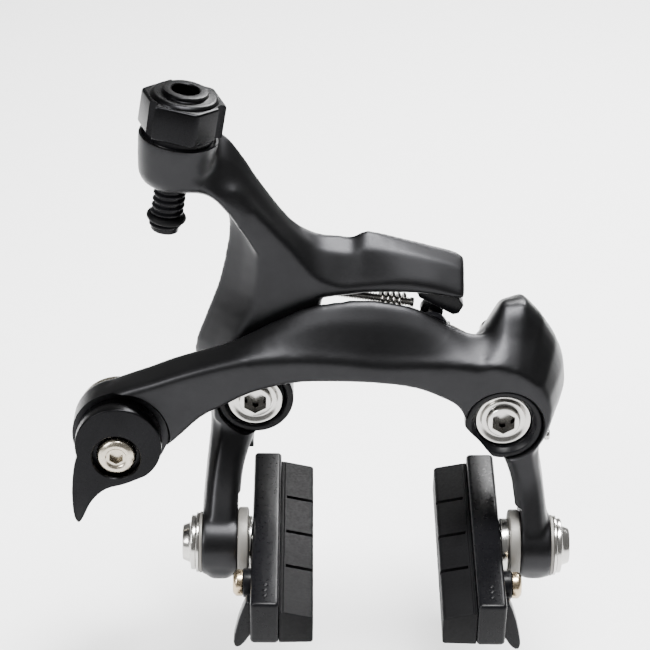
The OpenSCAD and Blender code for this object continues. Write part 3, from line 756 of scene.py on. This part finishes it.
def leg_cutters(side):
    """The slot for the shoe bolt and the flats that the washers bear on."""
    bm = bmesh.new()
    r, reach, steps = 3.15, 3.0, 12
    outline = []
    for centre, start in ((reach, 0), (-reach, 180)):
        for k in range(steps + 1):
            a = math.radians(start + 180 * k / steps)
            outline.append((SHOE_Y + r * math.cos(a), SHOE_Z + centre + r * math.sin(a)))
    prism(bm, outline, side * 26, side * 46, "X")
    slot = to_object(bm, "cut_slot")
    deep, half_width = 8, 14
    y, z = (SHOE_Y - half_width, SHOE_Y + half_width), (-50, -20.8)
    flats = [
        box(sorted((side * a, side * b)), y, z)
        for a, b in ((LEG_IN[side] - deep, LEG_IN[side]), (LEG_OUT, LEG_OUT + deep))
    ]
    return [slot, *flats]


def leg_eye(bm, side):
    """Round end of a leg, a little proud so that its flats are cut from it."""
    proud, radius = 0.4, 7.3
    a, b = LEG_IN[side] - proud, LEG_OUT + proud
    turned(bm, [(0, a), (radius, a), (radius, b), (0, b)], sideways(side, 0, SHOE_Y, SHOE_Z))


def pivot_cutter(x, front, floor):
    """Recess with a softened mouth, and the bore of the bush behind it."""
    return turned_object("cut_pivot", [
        (0, front - 4), (9.3, front - 4), (9.3, front - 0.1), (9.15, front + 0.12), (8.95, front + 0.35),
        (8.8, front + 0.7), (8.8, floor), (6, floor), (6, -4), (0, -4),
    ], along("Y", x, 0, 0), 96)


class CALIPER_OT_front_arm(bpy.types.Operator):
    """Front arm: arch, shoulder, leg and the eye for the release cam"""

    bl_idname = "caliper.front_arm"
    bl_label = "Front arm"

    def execute(self, context):
        p = context.scene.caliper_sizes
        bm = bmesh.new()
        loft(bm, [arch_ring(*q) for q in curve_through(ARCH, 3)])
        loft(bm, [shoulder_ring(*q) for q in curve_through(SHOULDER, 3)])
        loft(bm, [leg_ring(1, *q) for q in curve_through(FRONT_LEG, 4)])
        leg_eye(bm, 1)
        turned(bm, [(0, -32), (10.6, -32), (10.7, -31.8), (10.7, -23.4), (9.9, -22.6), (0, -22.6)],
               along("Y", LEVER[0], 0, LEVER[1]))
        arm = melt(to_object(bm, "front_arm_body"), p.voxel, p.soften)
        soften(arm, SHOULDER_VALLEY + ARCH_TOP)
        cam = drill(6.65, -50, 0, along("Y", LEVER[0], 0, LEVER[1]))
        pocket = turned_object(
            "cut_pocket", [(0, -44), (11.6, -44), (11.5, -32), (11.1, -31.7), (11, -31.4), (11, -30.4), (0, -30.4)],
            along("Y", LEVER[0], 0, LEVER[1]), FINE)
        cut(arm, [pivot_cutter(PIVOT, ARM_FRONT, -27), pocket, cam, *leg_cutters(1)])
        finish_piece(arm, "satin_anthracite", "front_arm", "arm_paint", "front_arm")
        return {"FINISHED"}


class CALIPER_OT_rear_arm(bpy.types.Operator):
    """Rear arm: stem, branch, leg and the adjuster boss"""

    bl_idname = "caliper.rear_arm"
    bl_label = "Rear arm"

    def execute(self, context):
        p = context.scene.caliper_sizes
        bm = bmesh.new()
        loft(bm, [stem_ring(*q) for q in curve_through(STEM, 3)])
        loft(bm, [branch_ring(*q) for q in curve_through(BRANCH, 3)])
        loft(bm, [leg_ring(-1, *q) for q in curve_through(REAR_LEG, 4)])
        leg_eye(bm, -1)
        turned(bm, [(0, -21), (8.5, -21), (8.75, -20.4), (8.75, -8.4), (8.3, -8), (0, -8)], along("Y", -PIVOT, 0, 0))
        turned(bm, [(0, -3.6), (5.2, -3.6), (6.8, -2.7), (7.7, -1), (8.3, 3), (8.8, 7.5), (8.8, 9), (0, 9)],
               adjuster_place())
        arm = melt(to_object(bm, "rear_arm_body"), p.voxel, p.soften)
        soften(arm, STEM_NECK)
        boss = turned_object("cut_boss", [
            (0, -40), (3.75, -40), (3.75, 6.2), (7.9, 6.2), (7.9, 7.7), (8.2, 8), (12, 8), (12, 16), (0, 16),
        ], adjuster_place(), 96)
        cut(arm, [pivot_cutter(-PIVOT, REAR_FRONT, -17), boss, *leg_cutters(-1)])
        finish_piece(arm, "satin_anthracite", "rear_arm", "arm_paint", "rear_arm")
        return {"FINISHED"}


# -------------------------------------------------------------- fixed on the fork


def bolt_head(front):
    """Profile of a pivot bolt from its raised cap, over the dished collar, to its point."""
    head = open_profile([
        (0, 0), (3.65, 0), (3.65, 1.5), (4.1, 1.68), (4.7, 1.72), (5.5, 1.3), (6.2, 1.15),
        (6.2, BOLT_SEAT), (SHANK, BOLT_SEAT),
    ], 0.28)
    return head + [(SHANK, -front), (STUD, -front), (STUD, 13.4 - front), (2.4, 14 - front), (0, 14 - front)]


class CALIPER_OT_mounting(bpy.types.Operator):
    """Stabiliser plate, mounting bolts, pivot sleeves and return springs"""

    bl_idname = "caliper.mounting"
    bl_label = "Mounting"

    def execute(self, context):
        self.plate()
        for side, name in ((-1, "left"), (1, "right")):
            front = CAP_FRONT[side]
            place = along("Y", side * PIVOT, front, 0)
            bolt = turned_object("mounting_bolt_%s_body" % name, bolt_head(front), place, FINE)
            cut_hex(bolt, 2.9, -1, 3.6, place)
            finish_piece(bolt, "polished_steel", "base", "bright_steel", "mounting_bolt_" + name)
            start = front + BOLT_SEAT
            end = -start - PLATE
            flange = end - 1.4
            sleeve = turned_object("pivot_sleeve_%s_body" % name, around([
                (BOLT_BORE, 0), (4.75, 0), (4.75, flange), (7.4, flange), (7.4, end), (BOLT_BORE, end),
            ], 0.2), along("Y", side * PIVOT, start, 0), FINE)
            finish_piece(sleeve, "satin_steel", "base", "dull_steel", "pivot_sleeve_" + name)
            self.spring(side, name)
        return {"FINISHED"}

    def plate(self):
        half_width = 2.6
        middle = curve_through([
            (-28, 0), (-20, 4.8), (-15, 7.4), (-10, 9.6), (0, 11.7), (10, 9.6), (15, 7.4), (20, 4.8), (28, 0),
        ], 5)
        outline = [(x, z + half_width) for x, z in middle]
        outline += [(x, z - half_width) for x, z in reversed(middle)]
        bm = bmesh.new()
        prism(bm, outline, 0.06 - PLATE, -0.06, "Y", 0.35)
        plate = to_object(bm, "mount_plate_body")
        places = [along("Y", x, 0, 0) for x in (-PIVOT, PIVOT)]
        join(plate, [peg("eye", 8, -PLATE, 0, 0.35, place, FINE) for place in places])
        cut(plate, [drill(BOLT_BORE, -9, 9, place, FINE) for place in places])
        finish_piece(plate, "satin_steel", "base", "dull_steel", "mount_plate")

    def spring(self, side, name):
        """Two turns around the sleeve, one end beside the leg's seat, the other hooked over the plate."""
        radius, front, rise, steps = 6.1, -7.1, 2.0, 84
        coil = []
        for k in range(steps + 1):
            a = math.radians(171 - 7.5 * k)
            coil.append((PIVOT + radius * math.cos(a), front + rise * k / steps, radius * math.sin(a)))
        path = curve_through([
            (25.8, front, -15), (23.9, front, -9), (22.1, front, -2.6), *coil,
            (22.5, -5.1, -5), (18, -5.1, -1), (16.3, -5.1, 4), (16.4, -5, 8.4), (16.5, -4.2, 9.72),
            (16.5, -1.4, 9.75),
        ], 2)
        bm = bmesh.new()
        rod(bm, [(side * x, y, z) for x, y, z in path], 0.55, 14)
        spring = to_object(bm, "return_spring_%s_body" % name)
        finish_piece(spring, "polished_steel", "base", "dull_steel", "return_spring_" + name)


class CALIPER_OT_pivots(bpy.types.Operator):
    """Bushes and dust rings of both arms"""

    bl_idname = "caliper.pivots"
    bl_label = "Bushes and dust rings"

    def execute(self, context):
        for side, arm, floor, front, flat in (
            (-1, "rear_arm", -17, -20.4, None), (1, "front_arm", -27, -31, 7),
        ):
            profile = ring_profile(4.8, 6, floor, SLEEVE_BACK, 0.25)
            bush = turned_object(arm + "_bush_body", profile, along("Y", side * PIVOT, 0, 0), FINE)
            finish_piece(bush, "gloss_black", arm, "black_gloss", arm + "_bush")
            depth = floor - front
            profile = around([
                (6.5, 1.2), (7.4, 0.1), (8.3, 0), (8.75, 0.4), (8.75, depth), (6.5, depth),
            ], 0.2)
            ring = turned_object(arm + "_ring_body", profile, along("Y", side * PIVOT, front, 0), FINE)
            if flat:
                a, w = math.radians(-139.6), 20
                across, up = Vector((math.cos(a), math.sin(a))), Vector((-math.sin(a), math.cos(a)))
                corners = [across * u + up * v for u, v in ((flat, -w), (flat + w, -w), (flat + w, w), (flat, w))]
                bm = bmesh.new()
                prism(bm, [(side * PIVOT + c.x, c.y) for c in corners], front - 2, floor + 2, "Y")
                cut(ring, [to_object(bm, "cut_flat")])
            finish_piece(ring, "gloss_black", arm, "black_gloss", arm + "_ring")
        return {"FINISHED"}


# ------------------------------------------------- contact between the two arms


def thread(bm, root, crest, low, high, pitch, steps=36):
    """A closed rod with a helical ridge, along Z from low to high."""
    turns = int((high - low) / pitch) + 2
    start = low - pitch
    verts = [bm.verts.new((r * MM, 0, (start + h * pitch) * MM)) for r, h in (
        (root, 0), (root, 0.14), (crest, 0.44), (crest, 0.62), (root, 0.94), (root, 1),
    )]
    edges = [bm.edges.new(pair) for pair in zip(verts, verts[1:])]
    bmesh.ops.spin(
        bm, geom=verts + edges, cent=(0, 0, 0), axis=(0, 0, 1), dvec=(0, 0, pitch * MM / steps),
        angle=math.tau * turns, steps=steps * turns, use_merge=False, use_normal_flip=False, use_duplicate=False,
    )
    bmesh.ops.remove_doubles(bm, verts=bm.verts, dist=2e-6)
    for at, outer in ((low, False), (high, True)):
        bmesh.ops.bisect_plane(
            bm, geom=bm.verts[:] + bm.edges[:] + bm.faces[:], dist=1e-8, plane_co=(0, 0, at * MM), plane_no=(0, 0, 1),
            clear_inner=not outer, clear_outer=outer,
        )
        rim = [e for e in bm.edges if e.is_boundary and all(abs(v.co.z - at * MM) < 1e-6 for v in e.verts)]
        bmesh.ops.contextual_create(bm, geom=rim)
    bmesh.ops.recalc_face_normals(bm, faces=bm.faces[:])


def thread_object(name, root, crest, low, high, pitch, place, steps=36):
    bm = bmesh.new()
    thread(bm, root, crest, low, high, pitch, steps)
    bmesh.ops.transform(bm, matrix=place, verts=bm.verts)
    return to_object(bm, name)


def centring_place():
    return Matrix.Translation(Vector((6.6, -18.4, 24.4)) * MM) @ Matrix.Rotation(math.radians(98), 4, "Y")


class CALIPER_OT_contact(bpy.types.Operator):
    """Contact pad, roller, its bracket and pin, stop screw and spring seats"""

    bl_idname = "caliper.contact"
    bl_label = "Contact and stops"

    def execute(self, context):
        n = CONTACT.normalized()
        t = Vector((n.y, -n.x))
        f = CONTACT + n * HALF_GAP
        bm = bmesh.new()
        prism(bm, [
            f - 5.2 * t, f + 3.6 * t, f + 4.6 * t + 0.9 * n, f + 4.6 * t + 3 * n,
            Vector((16.6, 27.6)), Vector((7.4, 28.6)),
        ], -19.6, -12.6, "Y", 0.4, 3)
        finish_piece(to_object(bm, "contact_pad_body"), "gloss_black", "rear_arm", "black_gloss", "contact_pad")

        outline = eased([
            (5.6, 16), (8.6, 22.4), (11, 23.6), (13.8, 22.8), (15.8, 19.6), (19.4, 16.8), (19.4, 12.6), (8, 13.6),
        ], 1.2)
        bm = bmesh.new()
        prism(bm, outline, ARCH_BACK, -20.6, "Y", 0.3)
        bracket = to_object(bm, "roller_bracket_body")
        cut(bracket, [drill(1.2, -40, 0, along("Y", ROLLER.x, 0, ROLLER.y))])
        finish_piece(bracket, "gloss_black", "front_arm", "black_gloss", "roller_bracket")

        profile = open_profile([(0, 0), (1.2, 0), (1.2, 9.2), (2, 9.2), (2, 10), (0, 10)], 0.2)
        pin = turned_object("roller_pin_body", profile, along("Y", ROLLER.x, ARCH_BACK, ROLLER.y), 48)
        finish_piece(pin, "polished_steel", "front_arm", "bright_steel", "roller_pin")

        profile = around([
            (1.25, 0), (1.9, 0), (2, 0.18), (2.3, 0.18), (2.6, 0.45), (2.6, 2.75), (2.3, 3.02), (2, 3.02),
            (1.9, 3.2), (1.25, 3.2),
        ], 0.1, 2)
        roller = turned_object("contact_roller_body", profile, along("Y", ROLLER.x, -16.8, ROLLER.y))
        finish_piece(roller, "gloss_black", "roller", "black_gloss", "contact_roller")

        place = along("X", 35, -13.6, -12.8)
        stop = thread_object("stop_screw_body", 1.15, 1.4, 0, 4.7, 0.7, place, 24)
        join(stop, [turned_object("tip", [(0, 4.3), (1.38, 4.3), (1.38, 5.1), (1.1, 5.4), (0, 5.4)], place, 48)])
        cut_hex(stop, 0.85, 4.2, 6, place)
        finish_piece(stop, "polished_steel", "front_arm", "bright_steel", "stop_screw")

        for side, arm, name in ((-1, "rear_arm", "rear_spring_seat"), (1, "front_arm", "front_spring_seat")):
            corners = ((28.3, -15.6), (33, -15.6), (33, -11.8), (29, -11.8))
            outline = eased([(side * x, z) for x, z in corners], 0.5)
            bm = bmesh.new()
            prism(bm, outline, -16, -5.2, "Y", 0.4)
            finish_piece(to_object(bm, name + "_body"), "gloss_black", arm, "black_gloss", name)
        return {"FINISHED"}


class CALIPER_OT_centring(bpy.types.Operator):
    """Centring screw and the spring around it"""

    bl_idname = "caliper.centring"
    bl_label = "Centring screw"

    def execute(self, context):
        place = centring_place()
        screw = thread_object("centring_screw_body", 0.82, 1.0, -18.6, 0.1, 0.6, place, 20)
        join(screw, [
            peg("head", 1.1, 0, 0.8, 0.15, place, 40, rounding=2),
            turned_object("point", [(0, -19), (0.7, -19), (0.9, -18.7), (0.9, -18.2), (0, -18.2)], place, 40),
        ])
        finish_piece(screw, "polished_steel", "rear_arm", "bright_steel", "centring_screw")
        turns, steps, radius, pitch, end = 4.6, 22, 1.62, 1.28, -7.2
        path = [
            (
                radius * math.cos(math.tau * k / steps),
                radius * math.sin(math.tau * k / steps),
                end + pitch * k / steps,
            )
            for k in range(int(turns * steps) + 1)
        ]
        bm = bmesh.new()
        rod(bm, path, 0.34, 12)
        bmesh.ops.transform(bm, matrix=place, verts=bm.verts)
        spring = to_object(bm, "centring_spring_body")
        finish_piece(spring, "polished_steel", "rear_arm", "bright_steel", "centring_spring")
        return {"FINISHED"}


# ------------------------------------------------------- release lever and clamp


class CALIPER_OT_lever(bpy.types.Operator):
    """Release lever with its cam journal, and the cable clamp through it"""

    bl_idname = "caliper.lever"
    bl_label = "Release lever and clamp"

    def execute(self, context):
        x, z = LEVER
        r = 9.7
        disc = [
            (x + r * math.cos(math.radians(a)), z + r * math.sin(math.radians(a)))
            for a in range(-52, 197, 4)
        ]
        tail = curve_through([
            disc[-1], (-68.5, -10), (-69, -16), (-68.8, -21.4), (-68, -23.7), (-66.9, -23), (-64.6, -18.2),
            (-61.4, -15), (-57, -13.5), disc[0],
        ], 6)
        bm = bmesh.new()
        prism(bm, disc + tail[1:-1], -36, -32.8, "Y", 0.45, 3)
        lever = to_object(bm, "release_lever_body")
        journal = turned_object("journal", open_profile([
            (0, -33.3), (9.4, -33.3), (9.4, -30.7), (6.6, -30.7), (6.6, ARCH_BACK), (0, ARCH_BACK),
        ], 0.25), along("Y", x, 0, z), FINE)
        join(lever, [journal])
        cut(lever, [turned_object("cut_recess", [
            (0, -50), (6, -50), (6, -36.4), (5.5, -35.85), (5.3, -35.5), (5.3, -34), (2.55, -34), (2.55, 0), (0, 0),
        ], along("Y", SCREW[0], 0, SCREW[1]), FINE)])
        finish_piece(lever, "satin_black", "lever", "black_gloss", "release_lever")
        self.clamp()
        return {"FINISHED"}

    def clamp(self):
        place, axis = along("Y", SCREW[0], -36.3, SCREW[1]), along("Y", SCREW[0], 0, SCREW[1])
        head = open_profile([
            (0, 0.5), (2.1, 0.5), (2.5, 0.12), (3.1, 0), (4, 0.5), (4.5, 1.3), (4.5, 2.25), (2.5, 2.25),
        ], 0.3)
        shaft = [(2.5, 16.2), (2.5, 20.2), (2.1, 20.6), (0, 20.6)]
        screw = turned_object("clamp_screw_body", head + shaft, place, FINE)
        cut_hex(screw, 1.75, -1, 2, place)
        finish_piece(screw, "champagne_plate", "clamp", "bright_steel", "clamp_screw")
        behind = along("Y", SCREW[0], ARCH_BACK, SCREW[1] + 2.6)
        plate = peg("clamp_plate_body", 9.5, 0.25, 2.5, 0.35, behind, FINE)
        cut(plate, [drill(2.55, -30, 0, axis)])
        finish_piece(plate, "champagne_plate", "clamp", "dull_steel", "clamp_plate")
        nut = hex_object("clamp_nut_body", 4.6, 0, 3.4, along("Y", SCREW[0], -20.1, SCREW[1]), 0, 0.35)
        cut(nut, [drill(2.5, -30, 0, axis)])
        finish_piece(nut, "polished_steel", "clamp", "bright_steel", "clamp_nut")


# ---------------------------------------------------------------- cable adjuster


class CALIPER_OT_adjuster(bpy.types.Operator):
    """Adjusting nut, its seat, the threaded bolt and the rubber ring on it"""

    bl_idname = "caliper.adjuster"
    bl_label = "Cable adjuster"

    def execute(self, context):
        place = adjuster_place()
        radius = 9.6
        corners = [math.radians(60 * k - 70) for k in range(6)]
        outline = eased([(radius * math.cos(a), radius * math.sin(a)) for a in corners], 0.9)
        bm = bmesh.new()
        prism(bm, outline, 9.4, 17.2, "Z", 0.55, 3)
        bmesh.ops.transform(bm, matrix=place, verts=bm.verts)
        nut = to_object(bm, "adjuster_nut_body")
        top = turned_object("top", open_profile([
            (0, 15), (7.6, 15), (7.6, 17.3), (6.9, 18), (5, 18), (5, 19), (0, 19),
        ], 0.3), place, FINE)
        join(nut, [top])
        notches, out = [], 9.2
        for a in (-138, -18, 102):
            centre = Vector((out * math.cos(math.radians(a)), out * math.sin(math.radians(a)), 0)) * MM
            notches.append(drill(1.5, 5, 25, place @ Matrix.Translation(centre), 40))
        bore = turned_object("cut_bore", [
            (0, 0), (3.65, 0), (3.65, 17.4), (3.1, 17.4), (3.1, 18.8), (3.5, 19.2), (0, 19.2),
        ], place)
        cut(nut, [*notches, bore])
        finish_piece(nut, "satin_black", "adjusting_nut", "black_gloss", "adjuster_nut")

        profile = around([
            (3.65, 6.2), (7.85, 6.2), (7.85, 7.5), (7.45, 7.8), (7.45, 9.3), (3.65, 9.3),
        ], 0.22)
        seat = turned_object("adjuster_seat_body", profile, place, FINE)
        finish_piece(seat, "gloss_black", "rear_arm", "black_gloss", "adjuster_seat")

        pitch = context.scene.caliper_sizes.thread_pitch
        bolt = thread_object("adjuster_bolt_body", 3.02, 3.6, -13.6, 5.4, pitch, place, 48)
        join(bolt, [
            peg("end", 3.1, -14.8, -13, 0.3, place, 72),
            peg("neck", 3.6, 5, 14.2, 0.25, place, 72),
        ])
        cut(bolt, [turned_object("cut_socket", [
            (0, -20), (1.2, -20), (1.2, 8.2), (2.55, 8.2), (2.55, 13.9), (2.9, 14.3), (2.9, 20), (0, 20),
        ], place)])
        finish_piece(bolt, "gloss_black", "adjusting_bolt", "black_gloss", "adjuster_bolt")

        inside, middle, level, wire = 3.61, 3.55, -11.6, 0.85
        section = [
            (max(inside, middle + wire * math.cos(math.radians(a))), level + wire * math.sin(math.radians(a)))
            for a in range(-84, 85, 12)
        ]
        ring = turned_object("adjuster_o_ring_body", [*section, section[0]], place, FINE)
        finish_piece(ring, "moulded_rubber", "adjusting_bolt", "rubber", "adjuster_o_ring", angle=50)
        return {"FINISHED"}


# ------------------------------------------------------------------------- shoes


class CALIPER_OT_shoes(bpy.types.Operator):
    """Holders, rubber pads and their fixing screws"""

    bl_idname = "caliper.shoes"
    bl_label = "Shoes"

    def execute(self, context):
        for side, name in ((-1, "left"), (1, "right")):
            self.holder(side, name)
            self.pad(side, name)
            place = shoe_place() @ sideways(side, 24.5, *PAD_SCREW)
            screw = turned_object(name + "_pad_screw_body", open_profile([
                (0, 0), (1.5, 0), (1.5, 5.75), (3, 5.75), (3, 7.3), (2.2, 8), (0, 8),
            ], 0.3), place, 64)
            cut_hex(screw, 1.2, 6.6, 9, place)
            finish_piece(screw, "brass_plate", name + "_shoe", "brass", name + "_pad_screw")
        return {"FINISHED"}

    def slab(self, side, outline, low, high, name="cut_slab", bevel=0.0, segments=2):
        """A flat outline in the shoe's own frame, solid from low to high on its side."""
        bm = bmesh.new()
        prism(bm, outline, side * low, side * high, "X", bevel, segments)
        bmesh.ops.transform(bm, matrix=shoe_place(), verts=bm.verts)
        return to_object(bm, name)

    def tenon(self, rear):
        """Outline of the groove in the holder, or of the pad's root in it."""
        bottom, top = TENON
        return [(-25.4, bottom), (rear, bottom), (rear, top), (-25.4, top)]

    def holder(self, side, name):
        outline = eased([(-27.6, -5.8), (28, -5.7), (28, 5.8), (-27.6, 5.8)], 1.1, 4)
        holder = self.slab(side, outline, 22, 28.4, name + "_holder_body", 0.9, 4)
        screw_axis = shoe_place() @ sideways(side, 0, *PAD_SCREW)
        boss = peg("boss", 3.3, 27.4, 30.2, 0.3, screw_axis, 64)
        fin = [
            (27, -33), (29.2, -32), (30.1, -34), (31.1, -37.2), (32, -41.3), (32.2, -43.1), (31.8, -44.4),
            (30.7, -44.2), (29.6, -43), (28.5, -41.1), (27, -40),
        ]
        bm = bmesh.new()
        prism(bm, [(side * x, z) for x, z in eased(fin, 0.5, 2)], -55, -51.4, "Y", 0.5, 3)
        dots = [
            turned_object("dot", [(0, -0.4), (0.62, -0.4), (0.6, 0.06), (0.42, 0.2), (0, 0.26)],
                          shoe_place() @ along("Z", side * 25.2, y, 5.8), 24)
            for y in (-24.4, -22.6, -20.8)
        ]
        join(holder, [boss, to_object(bm, "fin"), *dots])
        cut(holder, [
            self.slab(side, self.tenon(32), 19, 24.4),
            drill(3, 20, 40, sideways(side, 0, SHOE_Y, SHOE_Z), 64),
            drill(1.5, 20, 40, screw_axis, 48),
        ])
        finish_piece(holder, "gloss_black", name + "_shoe", "black_gloss", name + "_holder")

    def pad(self, side, name):
        section = [(14.4, -5), (14.8, -5.4), (22, -5.6), (22, 3.5), (14.9, 1.9), (14.4, 1.5)]
        bm = bmesh.new()
        prism(bm, [(side * x, z) for x, z in eased(section, 0.35, 3)], -27.2, 27.4, "Y", 0.6, 3)
        bmesh.ops.transform(bm, matrix=shoe_place(), verts=bm.verts)
        pad = to_object(bm, name + "_pad_body")
        join(pad, [self.slab(side, self.tenon(27.2), 21.5, 24.4, "root")])
        half = 0.5
        grooves = [
            self.slab(side, [(y - half, -8), (y + half, -8), (y + half, 6), (y - half, 6)], 13, 20.7)
            for y in (-11, 1.3, 14)
        ]
        bm = bmesh.new()
        rod(bm, [(side * 21.3, y, 3.6) for y in (-30, 0, 30)], 0.45, 16)
        bmesh.ops.transform(bm, matrix=shoe_place(), verts=bm.verts)
        cut(pad, [*grooves, to_object(bm, "cut_gutter")])
        finish_piece(pad, "moulded_rubber", name + "_shoe", "rubber", name + "_pad")


class CALIPER_OT_shoe_bolts(bpy.types.Operator):
    """Shoe bolts with the washers and cups on each side of the legs"""

    bl_idname = "caliper.shoe_bolts"
    bl_label = "Shoe bolts and washers"

    def execute(self, context):
        for side, name in ((-1, "left"), (1, "right")):
            body = name + "_shoe_stack"
            place = sideways(side, 24.8, SHOE_Y, SHOE_Z)
            flange, end = 16.55, 19.6
            bolt = turned_object(name + "_shoe_bolt_body", open_profile([
                (0, 0), (2.95, 0), (2.95, flange), (6.3, flange), (6.3, flange + 1.1), (4.75, flange + 1.25),
                (4.5, flange + 1.7), (4, end), (0, end),
            ], 0.28), place, FINE)
            cut_hex(bolt, 2.3, 16.1, 21, place)
            finish_piece(bolt, "polished_steel", body, "bright_steel", name + "_shoe_bolt")
            inside = LEG_IN[side]
            rings = (
                ("inner_washer", 28.5, inside - 2.55, 6.2, 0.3, "polished_steel", "bright_steel"),
                ("inner_cup", inside - 2.5, inside - 0.1, 8.2, 0.55, "sand_blasted_steel", "dull_steel"),
                ("outer_cup", LEG_OUT + 0.05, LEG_OUT + 0.75, 7, 0.2, "sand_blasted_steel", "dull_steel"),
                ("outer_washer", LEG_OUT + 0.8, LEG_OUT + 1.5, 6.9, 0.25, "polished_steel", "bright_steel"),
            )
            for piece, low, high, radius, ease, material, slot in rings:
                profile = ring_profile(3, radius, low, high, ease)
                ring = turned_object(
                    "%s_%s_body" % (name, piece), profile, sideways(side, 0, SHOE_Y, SHOE_Z), FINE)
                finish_piece(ring, material, body, slot, "%s_%s" % (name, piece))
        return {"FINISHED"}


# ----------------------------------------------------------------------- panel

OPERATORS = (
    CALIPER_OT_stage, CALIPER_OT_finishes, CALIPER_OT_front_arm, CALIPER_OT_rear_arm, CALIPER_OT_mounting,
    CALIPER_OT_pivots, CALIPER_OT_contact, CALIPER_OT_centring, CALIPER_OT_lever, CALIPER_OT_adjuster,
    CALIPER_OT_shoes, CALIPER_OT_shoe_bolts,
)
GROUPS = (CaliperFinish, CaliperSizes, CaliperStage)


class CALIPER_PT_sidebar(bpy.types.Panel):
    """Lists the pieces of the caliper in the 3D view's sidebar"""

    bl_idname = "CALIPER_PT_sidebar"
    bl_label = "Caliper"
    bl_space_type = "VIEW_3D"
    bl_region_type = "UI"
    bl_category = "Caliper"

    def draw(self, context):
        for operator in OPERATORS:
            self.layout.operator(operator.bl_idname)
        for group in ("caliper_finish", "caliper_sizes", "caliper_stage"):
            settings = getattr(context.scene, group)
            for name in settings.__annotations__:
                self.layout.prop(settings, name)


def register():
    for cls in (*GROUPS, *OPERATORS, CALIPER_PT_sidebar):
        bpy.utils.register_class(cls)
    bpy.types.Scene.caliper_finish = PointerProperty(type=CaliperFinish)
    bpy.types.Scene.caliper_sizes = PointerProperty(type=CaliperSizes)
    bpy.types.Scene.caliper_stage = PointerProperty(type=CaliperStage)


def unregister():
    for name in ("caliper_finish", "caliper_sizes", "caliper_stage"):
        delattr(bpy.types.Scene, name)
    for cls in reversed((*GROUPS, *OPERATORS, CALIPER_PT_sidebar)):
        bpy.utils.unregister_class(cls)


def main():
    register()
    for operator in OPERATORS:
        getattr(bpy.ops.caliper, operator.bl_idname.split(".")[1])()


if __name__ == "__main__":
    main()
